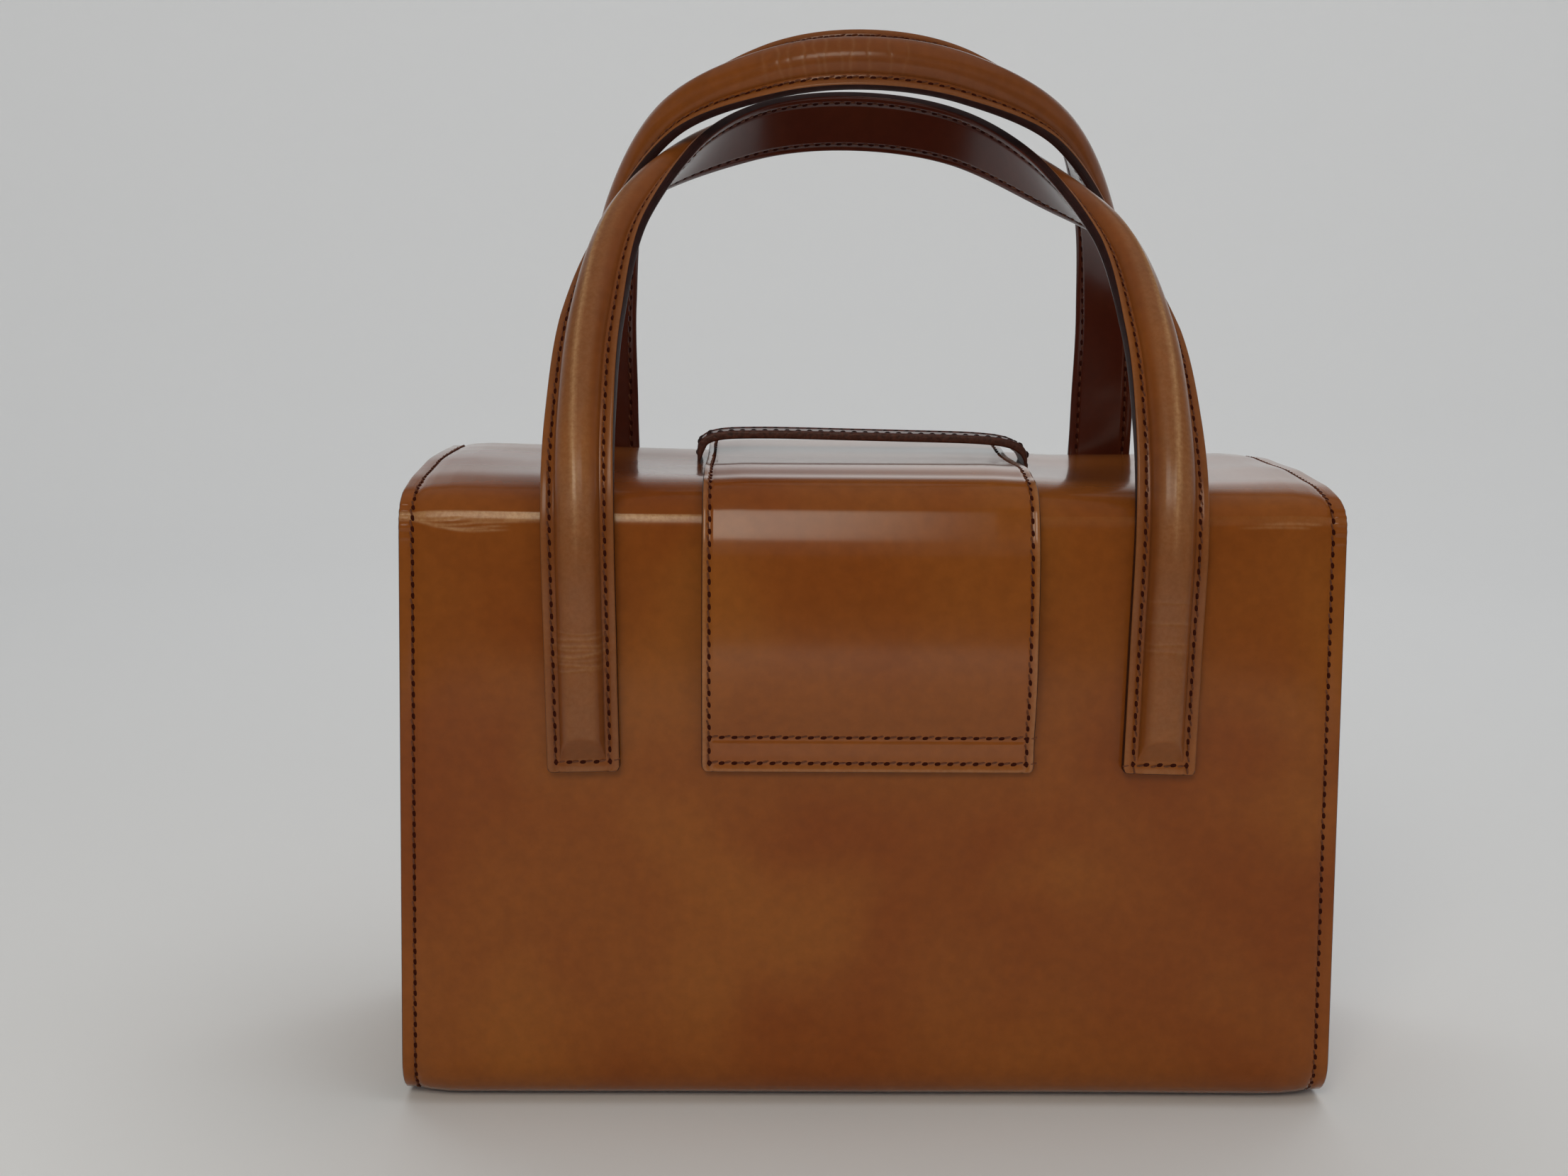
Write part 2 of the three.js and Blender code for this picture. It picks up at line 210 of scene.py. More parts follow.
# Outside of the snap from its flat middle to its foot: radius and height
SNAP_ROWS = (
    (2.6, 2.0),
    (3.0, 1.7),
    (3.4, 1.4),
    (5.2, 1.4),
    (5.6, 1.7),
    (6.0, 2.2),
    (6.6, SNAP_HEIGHT),
    (7.3, 2.3),
    (7.8, 1.8),
    (8.0, 1.0),
    (8.0, 0.0),
)

# Outside of the loop from its left foot to its right one: across and up
KEEPER_ROWS = (
    (-47.4, 168.5),
    (-47.6, 171.2),
    (-47.6, 173.6),
    (-46.9, 175.5),
    (-45.2, 176.9),
    (-42.6, 177.8),
    (-38.0, 178.4),
    (-28.0, 178.6),
    (-17.0, 178.5),
    (-1.0, 178.2),
    (15.0, 177.9),
    (26.0, 177.7),
    (34.0, 177.4),
    (40.5, 176.8),
    (45.0, 175.6),
    (47.5, 173.6),
    (48.0, 171.2),
    (48.0, 168.5),
)

# Half of each handle from its sewn end to the top: out, inward, up and turn of the padded side
BACK_HANDLE_ROWS = (
    (75.2, 0, 93, 0),
    (75.9, 0, 126, 0),
    (76.5, 0, 159, 0),
    (76.5, 9.5, 184, 14),
    (74.3, 25, 210, 31),
    (67, 46, 234, 64),
    (51, 69, 251, 110),
    (28, 86, 264.5, 134),
    (0, 91, 268.5, 141),
)
FRONT_HANDLE_ROWS = (
    (74.6, 0, 93, 0),
    (75.3, 0, 126, 0),
    (76, 0, 159, 0),
    (76.5, 2.5, 184, 16),
    (75.5, 9, 214, 39),
    (69, 21.5, 243, 75),
    (54, 38, 266, 113),
    (27.5, 51, 278, 141),
    (0, 55, 281.5, 149),
)

# Each handle: name, rows, side of the bag, sway, share of the shoulder's turn, how much it is rubbed and
# painted with a sheen
HANDLES = (
    ("back", BACK_HANDLE_ROWS, -1, 0.035, 1.0, 1.0),
    ("front", FRONT_HANDLE_ROWS, 1, 0.02, 0.0, 0.4),
)

# The back handle's left shoulder is turned about its own length, in degrees, and stands higher
SHOULDER_TWIST = 9.5
SHOULDER_LIFT = 1.9
SHOULDER_X = -53.0
SHOULDER_REACH = 16.0
SHOULDER_FROM = (190.0, 215.0)

# Seams: distance in from the side edge, rows across, and where a seam starts
BODY_SEAM_IN = 3.7
BODY_SEAM_END = 3.0
TAB_SEAM_IN = 2.0
TAB_ROWS = (2.3, 9.4)
TAB_ROW_ENDS = (1.2, 2.2)
KEEPER_SEAM_IN = 1.7
KEEPER_SEAM_END = 2.0
STRAP_SEAM_IN = 2.4
STRAP_ROW = 2.65
STRAP_ROW_ENDS = (1.6, 2.4)
STRAP_ROW_SHARE = 0.6
LINING_SEAM_ABOVE_CREASE = 6.0
SEAM_LIFT = 0.12

# Seam grooves: half-width at which a groove has died away to about a third
GROOVE = 0.55
BODY_GROOVE = 0.8
STRAP_GROOVE = 0.5

# Stitches: shares of the pitch and the thread, slant in radians, depth of a hole, thread of the loop
THREAD_SPAN = (0.2, 0.5, 0.8)
THREAD_DIP = -0.6
THREAD_ARCH = 1.1
THREAD_SLANT = (0.1, 0.3)
HOLE_WIDTH_SHARE = 0.62
HOLE_DEPTH = 0.3
KEEPER_THREAD = 1.8
SEAM_SEED = 7

# Cut edges, and the angle past which a fold is drawn sharp
EDGE_ROUND = 0.6
PAINT_WIDTH = 0.3
SHARP_ANGLE = math.radians(50)

# How finely curves and pieces are drawn
CURVE_STEPS = 8
HANDLE_CURVE_STEPS = 60
LINE_STEP = 0.25
KEEPER_LINE_STEP = 0.2
DIRECTION_REACH = 0.4
KEEPER_DIRECTION_REACH = 0.3
LEAST_STEP = 0.015
BODY_STEP = 2.6
CREASE_STEP = 0.3
CREASE_SPAN = (8.0, 4.0)
TAB_CURVE_STEPS = 6
TAB_STEP = 1.2
KEEPER_STEP = 1.0
STRAP_STEP = 0.95
STRAP_END_STEP = 0.35
WRINKLE_STEP = 0.3
ARCH_STEP = 0.4
ARCH_SPAN = (30.0, 12.0)
RIDGE_MARKS = 29
FLANGE_FIRST = 0.9
FLANGE_STEP = 0.27
FLANGE_STOP = 0.1
SPAN_MARGIN = 1.0
GUSSET_MARGIN = 4.4
GUSSET_FINE_STEP = 0.4
GUSSET_PANEL_FROM = 5.0
GUSSET_PANEL_MARKS = 16
GUSSET_LOWER_TO = 60.0
GUSSET_LOWER_MARKS = 14
GUSSET_UPPER = (65.0, 158.0)
GUSSET_UPPER_MARKS = 30
TAB_DROP_MARKS = 9
SEAM_MARKS = 60
SNAP_TURNS = 48
BOWL_TURNS = 96
FLAG_TURNS = 48
SOFTENING_TAIL = 4

# Where on the hide the clouds of the dye are cut from, in metres
CLOUD_PLACE = (0.14, 0.37, 0.03)
GLOW_PLACE = (0.56, 0.72, 0.76)

# Patterns of the leather: sizes, and depths of the relief. Pores of calf are about 0.2 mm apart and
# drawn coarser so that they show
CLOUD_SIZE = 85.0
GLOW_SIZE = 60.0
WAVE_SIZE = 9.0
WAVE_DEPTH = 0.35
SPECKLE_SIZE = 3.5
RUBBED_PATCH_SIZE = 1.1
CRACK_DEPTH = 0.12
PORE_SIZE = 0.5
PORE_DEPTH = 0.06

# How much rougher the leather is than the glaze on it, from its pale clouds to its dark ones
ROUGHER_UNDER_GLAZE = (0.06, 0.16)

# Size of the tarnish on the brass
TARNISH_SIZE = 4.0

# How strongly the leather is rubbed pale, with a painted sheen added on the ridges, bent limbs and crests of
# the straps: sewn margins, ridges, bent limbs and their crests, wrinkles
MARGIN_WEAR = 0.22
MARGIN_RUBBED_FROM = 0.4
BODY_MARGIN_WEAR = 0.0066
BODY_MARGIN_RUBBED_FROM = 0.5
STRAP_MARGIN_WEAR = 0.09
RIDGE_WEAR_AND_SHEEN = 0.12
RIDGE_RUBBED = (RIDGE_HALF_WIDTH - 0.8, RIDGE_HALF_WIDTH - 2.6)
RIDGE_END_RUBBED = (-0.05, 0.2)
RIDGE_END_SHARE = 0.5
LEG_RUBBED_TO = (CREASE_Z - 15, CREASE_Z + 30)
LIMB_WEAR_AND_SHEEN = 0.15
CREST_WEAR_AND_HIGHLIGHT = 0.5
WRINKLE_WEAR = 1.2

# How the crease is rubbed pale, with a painted highlight where it mirrors the key light on its left: above
# and below it, all along, at its left, at its right, and in its folds
CREASE_RUBBED_ABOVE = (0.3, -0.2)
CREASE_RUBBED_BELOW = (1.0, 3.4)
CREASE_WEAR = 0.05
CREASE_LEFT_WEAR_AND_HIGHLIGHT = 0.55
CREASE_LEFT_TO = (-60.0, -30.0)
CREASE_RIGHT_WEAR = 0.06
CREASE_RIGHT_FROM = (90.0, 115.0)
FOLD_WEAR = 4.5
MOST_WEAR = 0.8

# Heights between which the handles are bent and rubbed to a crest along their ridge, with a highlight painted
# along the crest
LIMB_FROM = (145.0, 172.0)
LIMB_TO = (232.0, 258.0)
CREST_HEIGHT = 0.25
CREST_HALF_WIDTH = 0.75

# Cross wrinkles of the padded ridges: height on the leg, depth, half-width along the leg, tilt
LEFT_LEG_WRINKLES = (
    (120.6, 0.07, 0.35, 0.06),
    (121.9, 0.10, 0.35, -0.05),
    (123.1, 0.06, 0.3, 0.02),
    (124.4, 0.12, 0.4, 0.08),
    (125.9, 0.09, 0.35, -0.07),
    (127.0, 0.13, 0.4, -0.02),
    (128.8, 0.11, 0.35, 0.05),
    (130.4, 0.07, 0.3, -0.03),
)
RIGHT_LEG_WRINKLES = (
    (126.2, 0.05, 0.4, 0.01),
    (128.3, 0.04, 0.4, -0.02),
    (133.9, 0.05, 0.45, 0.02),
    (139.4, 0.04, 0.4, 0.0),
)

# Cross wrinkles on top of the arches: place from the middle, depth, tilt
ARCH_WRINKLES = (
    (-27.0, 0.05, 0.1),
    (-23.5, 0.08, -0.05),
    (-20.6, 0.06, 0.12),
    (-17.0, 0.09, 0.02),
    (-14.2, 0.06, -0.1),
    (-11.5, 0.08, 0.06),
    (-7.8, 0.05, -0.04),
    (-4.6, 0.08, 0.1),
    (-0.5, 0.06, 0.0),
    (4.8, 0.05, -0.08),
    (9.5, 0.04, 0.05),
)
ARCH_WRINKLE_WIDTH = 0.4
ARCH_FROM = CREASE_Z + 80

# How a wrinkle wanders: by how much, and how quickly across the strap
LEG_WANDER = 0.15
LEG_WANDER_RATE = 0.6
ARCH_WANDER = 0.3
ARCH_WANDER_RATE = 0.8
WRINKLED_WITHIN = 4.0

# Fine folds just under the crease: middle, half-length, drop below the crease, sag, depth
CREASE_FOLDS = (
    (-114, 9, 1.6, 1.0, 0.08),
    (-110, 10, 2.4, 1.3, 0.10),
    (-106, 11, 3.3, 1.4, 0.10),
    (-103, 9, 4.3, 1.0, 0.08),
    (-98, 7, 2.4, 0.6, 0.06),
    (109, 8, 2.4, -0.3, 0.06),
    (105, 9, 3.4, -0.3, 0.05),
)
FOLD_HALF_WIDTH = 0.32
FOLD_FADE = 0.6

# Painted highlights on the crease, brightest where it mirrors the key light: across, reach, strength
CREASE_PAINTED_HIGHLIGHTS = (
    (-92, 7, 0.28),
    (-57, 13, 0.3),
)

# Studio paper, in metres: rings of its floor, bend, wall, and heights at which the wall's painted shade
# starts and is full
FLOOR_RADII = (0.02, 0.3, 0.6, 0.9, 1.2)
BEND_RADIUS = 0.9
WALL_HEIGHT = 2.4
WALL_FULL_TONE_TO = 0.62
WALL_PAINTED_SHADE_FROM = 1.8

# Dark screen round the front of the table, in metres
FLAG_RADIUS = 0.74
FLAG_HEIGHT = 0.3

# Area lights: name, place, aim, width, depth (metres), power (watts), colour,
# and how much of its width and depth fades out, or none for a lamp that reflections do not see
LIGHTS = (
    ("front_key", (-0.25, -1.25, 0.92), (0.0, 0.0, 0.12), 1.0, 0.54, 10.4, (1.0, 0.92, 0.77), (0.3, 0.08)),
    ("floor_front", (0.0, -0.75, 0.22), (0.0, -0.75, 0.0), 0.9, 0.34, 1.0, (1.0, 1.0, 1.0), None),
    ("back_panel", (0.2, 1.3, 0.72), (0.0, 0.0, 0.17), 0.9, 0.9, 0.8, (1.0, 1.0, 1.0), (0.3, 0.45)),
    ("floor_fill", (0.7, -0.2, 1.9), (0.25, 0.1, 0.0), 1.4, 1.4, 7.0, (0.96, 0.98, 1.0), None),
    ("backdrop_wash", (0.0, 0.75, 1.9), (0.0, 1.5, 0.2), 1.8, 0.5, 12.8, (0.965, 0.985, 1.0), None),
)
ROOM_COLOUR = (0.96, 0.98, 1.0, 1.0)
ROOM_STRENGTH = 0.25

# Camera: where it stands, how it is turned, and its lens in pixels of the 2212 by 1659 image
IMAGE_WIDTH = 2212
SENSOR_WIDTH = 36.0
FOCAL_PIXELS = 2700.0
CENTRE_X_PIXELS = 1090.77
CAMERA_AT = (-31.281, -543.295, 209.473)
CAMERA_YAW = 0.01067
CAMERA_PITCH = 0.13783
CAMERA_ROLL = -0.00727
NEAREST_SEEN = 0.01

# Glazed leathers: tones for main, dark and golden clouds, roughness of the glaze, and its index of refraction
GLAZED_LEATHERS = {
    # Polished with glass: cloudy, deep and softly mirroring
    "glazed_calf_leather": (("leather", "leather_dark", "leather_gold"), 0.12, 1.22),
    # The same hide under more glaze: clear bands of light
    "polished_calf_leather": (("leather", "leather_dark", "leather_gold"), 0.12, 1.33),
    # Worn by the hand: even in tone, with a broad dull sheen
    "handled_calf_leather": (("strap", "leather", "strap"), 0.2, 1.26),
    # Dyed dark and thickly glazed: nearly black until it mirrors the light
    "dark_calf_leather": (("lining", "lining", "lining"), 0.2, 1.45),
}

# Plain finishes: colour, size of the flecks, change of tone, roughness, relief (millimetres), shine
PLAIN_FINISHES = {
    # Strap leather fed with oil: dark, close and a little shiny
    "oiled_strap_leather": ("lining", 1.5, 0.3, 0.3, 0.1, 0.5),
    # Cut edge rubbed with wax: brown with dark fibres
    "burnished_edge": ("burnish", 1.1, 0.5, 0.45, 0.45, 0.3),
    # Raw flesh side: dull and soft
    "suede_inside": ("inside", 1.2, 0.25, 0.9, 0.1, 0.5),
    # Brushed edge paint: nearly black with a low shine
    "painted_edge": ("edge_paint", 2.5, 0.3, 0.45, 0.06, 0.25),
    # Waxed thread dyed black: a low, broken shine
    "dark_thread": ("edge_paint", 0.6, 0.3, 0.5, 0.05, 0.25),
    # Waxed linen thread: dull brown
    "waxed_thread": ("thread", 0.6, 0.3, 0.5, 0.05, 0.25),
    # Shadow in a punched hole: hardly any shine
    "needle_hole": ("hole", 0.6, 0.2, 0.8, 0.05, 0.05),
    # Pressed wool: dull black
    "black_felt": ("felt", 2.0, 0.2, 0.9, 0.1, 0.5),
}


def to_linear(code):
    """Turns an sRGB hex colour into linear red, green, blue and alpha."""
    parts = [int(code[k:k + 2], 16) / 255 for k in (0, 2, 4)]
    linear = [c / 12.92 if c <= 0.04045 else ((c + 0.055) / 1.055) ** 2.4 for c in parts]
    return (*linear, 1.0)


def length_prop(name, description, millimetres):
    """A length that the sidebar shows, given in millimetres and kept in metres."""
    return bpy.props.FloatProperty(
        name=name, description=description, default=millimetres * MM, min=0.0, precision=5, unit="LENGTH")


def colour_prop(name, description, code):
    """A colour that the sidebar shows, given as sRGB hex."""
    return bpy.props.FloatVectorProperty(
        name=name, description=description, default=to_linear(code),
        size=4, min=0.0, max=1.0, subtype="COLOR")


class BagSizes(bpy.types.PropertyGroup):
    """Sizes of the sewing and of the leather's softness"""

    seam_pitch: length_prop("Seam pitch", "Distance between stitches on the straps and the tab", 3.2)
    edge_pitch: length_prop("Edge pitch", "Distance between stitches along the body's side edges", 2.9)
    thread_width: length_prop("Thread width", "Thickness of the sewing thread", 0.5)
    hole_length: length_prop("Hole length", "Length of a needle hole along its seam", 1.7)
    groove_depth: length_prop("Groove depth", "How far a seam pulls the leather down", 0.35)
    crease_softness: length_prop("Crease softness", "How softly the back folds over into the lid", 0.45)
    slack: length_prop("Slack", "How far the panels sink between their seams", 0.35)


class BagColours(bpy.types.PropertyGroup):
    """Colours of the leathers, threads and trimmings, and of the stage"""

    leather: colour_prop("Leather", "Main tone of the glazed leather", "84491b")
    leather_dark: colour_prop("Dark clouds", "Reddish clouds in the glazed leather", "7b3e14")
    leather_gold: colour_prop("Golden clouds", "Golden clouds in the glazed leather", "8d521f")
    strap: colour_prop("Strap leather", "Handled leather of the straps", "75411f")
    # Pale tone of rubbed leather, also used for the highlights painted onto the crease and the straps
    worn_and_highlight: colour_prop("Worn leather", "Rubbed leather along the crease", "c0976c")
    lining: colour_prop("Lining leather", "Dark leather under the handles and of the loop", "4e2014")
    inside: colour_prop("Inside", "Suede inside the bag", "4b2c1b")
    edge_paint: colour_prop("Edge paint", "Paint on the cut edges", "2a1412")
    burnish: colour_prop("Burnished edge", "Rubbed cut edge of the loop", "4a281e")
    thread: colour_prop("Thread", "Waxed sewing thread", "60341d")
    hole: colour_prop("Needle hole", "Shadowed needle holes", "34120a")
    brass: colour_prop("Brass", "Metal of the snap", "a98d55")
    felt: colour_prop("Felt", "Dark screen in front of the table", "1c1a19")
    floor: colour_prop("Floor", "Paper that the bag stands on", "e6e6e6")


def add_node(tree, kind, inputs=(), **settings):
    """Adds a node, sets it, and links or fills its inputs."""
    made = tree.nodes.new(kind)
    for key, value in settings.items():
        setattr(made, key, value)
    for socket, value in dict(inputs).items():
        if isinstance(value, bpy.types.NodeSocket):
            tree.links.new(value, made.inputs[socket])
        else:
            made.inputs[socket].default_value = value
    return made


def new_material(name):
    """Starts an empty node material and returns it with its output node."""
    material = bpy.data.materials.new(name)
    material.use_nodes = True
    material.node_tree.nodes.clear()
    return material, add_node(material.node_tree, "ShaderNodeOutputMaterial")


def noise_scale(millimetres):
    """Scale at which a noise texture's patches are about this large."""
    return 1.0 / (millimetres * MM)


def glazed_leather(name, tones, worn_and_highlight, gloss, glaze):
    """Calf leather polished with glass rollers over a hand-brushed, cloudy dye: a deep, mottled brown
    under a thin clear glaze that mirrors softly, rougher and paler where it is rubbed, and paler too where a
    highlight is painted in."""
    material, output = new_material(name)
    tree = material.node_tree
    main, dark, gold = tones
    where = add_node(tree, "ShaderNodeTexCoord").outputs["Object"]
    cut_from = add_node(tree, "ShaderNodeMapping", {"Vector": where, "Location": CLOUD_PLACE})
    clouds = add_node(tree, "ShaderNodeTexNoise", {
        "Vector": cut_from.outputs[0], "Scale": noise_scale(CLOUD_SIZE),
        "Detail": 2.5, "Roughness": 0.45, "Distortion": 0.3})
    drift = add_node(tree, "ShaderNodeMapping", {"Vector": where, "Location": GLOW_PLACE})
    glow = add_node(tree, "ShaderNodeTexNoise", {
        "Vector": drift.outputs[0], "Scale": noise_scale(GLOW_SIZE), "Detail": 2.0, "Roughness": 0.45})
    speckle = add_node(tree, "ShaderNodeTexNoise", {
        "Vector": where, "Scale": noise_scale(SPECKLE_SIZE), "Detail": 3.0, "Roughness": 0.6})
    dark_share = add_node(tree, "ShaderNodeMapRange", {
        "Value": clouds.outputs[0], "From Min": 0.4, "From Max": 0.66}, interpolation_type="SMOOTHSTEP")
    gold_share = add_node(tree, "ShaderNodeMapRange", {
        "Value": glow.outputs[0], "From Min": 0.47, "From Max": 0.72, "To Max": 0.8},
        interpolation_type="SMOOTHSTEP")
    cloudy = add_node(tree, "ShaderNodeMix", {
        0: dark_share.outputs[0], 6: main, 7: dark}, data_type="RGBA")
    golden = add_node(tree, "ShaderNodeMix", {
        0: gold_share.outputs[0], 6: cloudy.outputs[2], 7: gold}, data_type="RGBA")
    shade = add_node(tree, "ShaderNodeMapRange", {
        "Value": speckle.outputs[0], "From Min": 0.3, "From Max": 0.7, "To Min": 0.92, "To Max": 1.07})
    dyed = add_node(tree, "ShaderNodeVectorMath", {
        0: golden.outputs[2], "Scale": shade.outputs[0]}, operation="SCALE")
    # This attribute brings both real wear and painted highlights, which mix the dye towards the pale tone
    rubbed = add_node(tree, "ShaderNodeAttribute", attribute_name="wear")
    patchy = add_node(tree, "ShaderNodeTexNoise", {
        "Vector": where, "Scale": noise_scale(RUBBED_PATCH_SIZE), "Detail": 4.0, "Roughness": 0.65})
    patches = add_node(tree, "ShaderNodeMapRange", {
        "Value": patchy.outputs[0], "From Min": 0.38, "From Max": 0.62, "To Min": 0.6})
    worn_and_highlight_share = add_node(tree, "ShaderNodeMath", {
        0: rubbed.outputs["Fac"], 1: patches.outputs[0]}, operation="MULTIPLY", use_clamp=True)
    colour = add_node(tree, "ShaderNodeMix", {
        0: worn_and_highlight_share.outputs[0], 6: dyed.outputs[0], 7: worn_and_highlight}, data_type="RGBA")
    smoothest, roughest = ROUGHER_UNDER_GLAZE
    rough = add_node(tree, "ShaderNodeMapRange", {
        "Value": clouds.outputs[0], "From Min": 0.3, "From Max": 0.7,
        "To Min": gloss + smoothest, "To Max": gloss + roughest})
    pores = add_node(tree, "ShaderNodeTexNoise", {
        "Vector": where, "Scale": noise_scale(PORE_SIZE), "Detail": 2.0, "Roughness": 0.6})
    waves = add_node(tree, "ShaderNodeTexNoise", {
        "Vector": where, "Scale": noise_scale(WAVE_SIZE), "Detail": 2.0, "Roughness": 0.4})
    wavy = add_node(tree, "ShaderNodeBump", {
        "Height": waves.outputs[0], "Strength": 0.12, "Distance": WAVE_DEPTH * MM})
    cracked = add_node(tree, "ShaderNodeBump", {
        "Height": worn_and_highlight_share.outputs[0], "Strength": 0.5, "Distance": CRACK_DEPTH * MM,
        "Normal": wavy.outputs[0]})
    grain = add_node(tree, "ShaderNodeBump", {
        "Height": pores.outputs[0], "Strength": 0.1, "Distance": PORE_DEPTH * MM,
        "Normal": cracked.outputs[0]})
    shader = add_node(tree, "ShaderNodeBsdfPrincipled", {
        "Base Color": colour.outputs[2], "Roughness": rough.outputs[0], "Normal": grain.outputs[0],
        "IOR": 1.4, "Specular IOR Level": 0.08,
        "Coat Weight": 1.0, "Coat Roughness": gloss, "Coat IOR": glaze})
    tree.links.new(shader.outputs[0], output.inputs[0])
    return material


def plain_finish(name, colour, size, change, roughness, relief, shine):
    """A dyed or painted surface with a fine uneven tone and relief of the given size."""
    material, output = new_material(name)
    tree = material.node_tree
    where = add_node(tree, "ShaderNodeTexCoord").outputs["Object"]
    flecks = add_node(tree, "ShaderNodeTexNoise", {
        "Vector": where, "Scale": noise_scale(size), "Detail": 3.0, "Roughness": 0.6})
    shade = add_node(tree, "ShaderNodeMapRange", {
        "Value": flecks.outputs[0], "From Min": 0.3, "From Max": 0.7,
        "To Min": 1 - change, "To Max": 1 + change})
    toned = add_node(tree, "ShaderNodeVectorMath", {
        0: colour[:3], "Scale": shade.outputs[0]}, operation="SCALE")
    uneven = add_node(tree, "ShaderNodeBump", {
        "Height": flecks.outputs[0], "Strength": 0.4, "Distance": relief * MM})
    shader = add_node(tree, "ShaderNodeBsdfPrincipled", {
        "Base Color": toned.outputs[0], "Roughness": roughness, "Normal": uneven.outputs[0],
        "Specular IOR Level": shine})
    tree.links.new(shader.outputs[0], output.inputs[0])
    return material


def studio_paper(name, colour):
    """Matt paper whose upper wall is painted darker, a painted shade, so that leather mirrors a soft end of
    the light.
    """
    material, output = new_material(name)
    tree = material.node_tree
    where = add_node(tree, "ShaderNodeTexCoord").outputs["Object"]
    height = add_node(tree, "ShaderNodeSeparateXYZ", {0: where}).outputs[2]
    # Painted shade: the paper's colour darkens up the wall
    shade = add_node(tree, "ShaderNodeMapRange", {
        "Value": height, "From Min": WALL_FULL_TONE_TO, "From Max": WALL_PAINTED_SHADE_FROM, "To Min": 1.0, "To Max": 0.25},
        interpolation_type="SMOOTHSTEP")
    toned = add_node(tree, "ShaderNodeVectorMath", {
        0: colour[:3], "Scale": shade.outputs[0]}, operation="SCALE")
    shader = add_node(tree, "ShaderNodeBsdfPrincipled", {
        "Base Color": toned.outputs[0], "Roughness": 0.85, "Specular IOR Level": 0.5})
    tree.links.new(shader.outputs[0], output.inputs[0])
    return material


def dull_brass(name, colour):
    """Pressed brass gone dull: a metal with cloudy tarnish and uneven gloss."""
    material, output = new_material(name)
    tree = material.node_tree
    where = add_node(tree, "ShaderNodeTexCoord").outputs["Object"]
    tarnish = add_node(tree, "ShaderNodeTexNoise", {
        "Vector": where, "Scale": noise_scale(TARNISH_SIZE), "Detail": 4.0})
    shade = add_node(tree, "ShaderNodeMapRange", {
        "Value": tarnish.outputs[0], "From Min": 0.3, "From Max": 0.7, "To Min": 0.6, "To Max": 1.0})
    toned = add_node(tree, "ShaderNodeVectorMath", {
        0: colour[:3], "Scale": shade.outputs[0]}, operation="SCALE")
    rough = add_node(tree, "ShaderNodeMapRange", {
        "Value": tarnish.outputs[0], "From Min": 0.3, "From Max": 0.7, "To Min": 0.45, "To Max": 0.25})
    shader = add_node(tree, "ShaderNodeBsdfPrincipled", {
        "Base Color": toned.outputs[0], "Roughness": rough.outputs[0], "Metallic": 1.0})
    tree.links.new(shader.outputs[0], output.inputs[0])
    return material


def finish_of(context, name):
    """Returns the named material of the bag, made on first use."""
    ready = bpy.data.materials.get(name)
    if ready:
        return ready
    colours = context.scene.bag_colours
    if name in GLAZED_LEATHERS:
        tones, gloss, glaze = GLAZED_LEATHERS[name]
        clouds = [getattr(colours, tone)[:] for tone in tones]
        return glazed_leather(name, clouds, colours.worn_and_highlight[:], gloss, glaze)
    if name in PLAIN_FINISHES:
        colour, *look = PLAIN_FINISHES[name]
        return plain_finish(name, getattr(colours, colour)[:], *look)
    if name == "dull_brass":
        return dull_brass(name, colours.brass[:])
    if name == "matt_paper":
        return studio_paper(name, colours.floor[:])
    raise ValueError(f"no finish is called {name}")


def smoothstep(low, high, value):
    """Rises smoothly from 0 at low to 1 at high, which may also lie below low."""
    t = np.clip((value - low) / (high - low), 0.0, 1.0)
    return t * t * (3 - 2 * t)


def along(values, t):
    """Smooth curve through a row of numbers, and its slope."""
    values = np.asarray(values, float)
    i = np.minimum(np.floor(t).astype(int), len(values) - 2)
    u = t - i
    ends = [[2 * values[0] - values[1]], values, [2 * values[-1] - values[-2]]]
    p0, p1, p2, p3 = (np.concatenate(ends)[i + k] for k in range(4))
    b = p2 - p0
    c = 2 * p0 - 5 * p1 + 4 * p2 - p3
    d = 3 * p1 - p0 - 3 * p2 + p3
    return p1 + 0.5 * (b * u + c * u ** 2 + d * u ** 3), 0.5 * (b + 2 * c * u + 3 * d * u ** 2)


def smooth_rows(rows, steps, beyond=()):
    """Smooth curves through a table's columns, with their slopes. Rows beyond only steer the end."""
    t = np.linspace(0, len(rows) - 1, steps * (len(rows) - 1) + 1)
    return [along(column, t) for column in np.array([*rows, *beyond], float).T]


def unit(vectors):
    """The same directions with a length of one."""
    return vectors / np.linalg.norm(vectors, axis=-1, keepdims=True)


def run_of(points):
    """Distance along a line of points from its start."""
    steps = np.linalg.norm(np.diff(points, axis=0), axis=1)
    return np.concatenate([[0.0], np.cumsum(steps)])


def at_runs(points, runs):
    """Points of a line at the given distances from its start."""
    own = run_of(points)
    return np.stack([np.interp(runs, own, column) for column in points.T], axis=1)


def soften(points, softness, step):
    """Resamples an open line and rounds its corners, leaving its ends in place."""
    length = run_of(points)[-1]
    fine = at_runs(points, np.linspace(0, length, int(length / step) + 1))
    reach = int(SOFTENING_TAIL * softness / step)
    weights = np.exp(-0.5 * (np.arange(-reach, reach + 1) * step / softness) ** 2)
    weights /= weights.sum()
    before = 2 * fine[0] - fine[reach:0:-1]
    after = 2 * fine[-1] - fine[-2:-reach - 2:-1]
    longer = np.concatenate([before, fine, after])
    return np.stack([np.convolve(column, weights, mode="valid") for column in longer.T], axis=1)


def round_marks(*turns):
    """Distances in from a cut edge at which its rounding has turned by the given degrees."""
    return EDGE_ROUND * (1 - np.cos(np.radians(turns)))


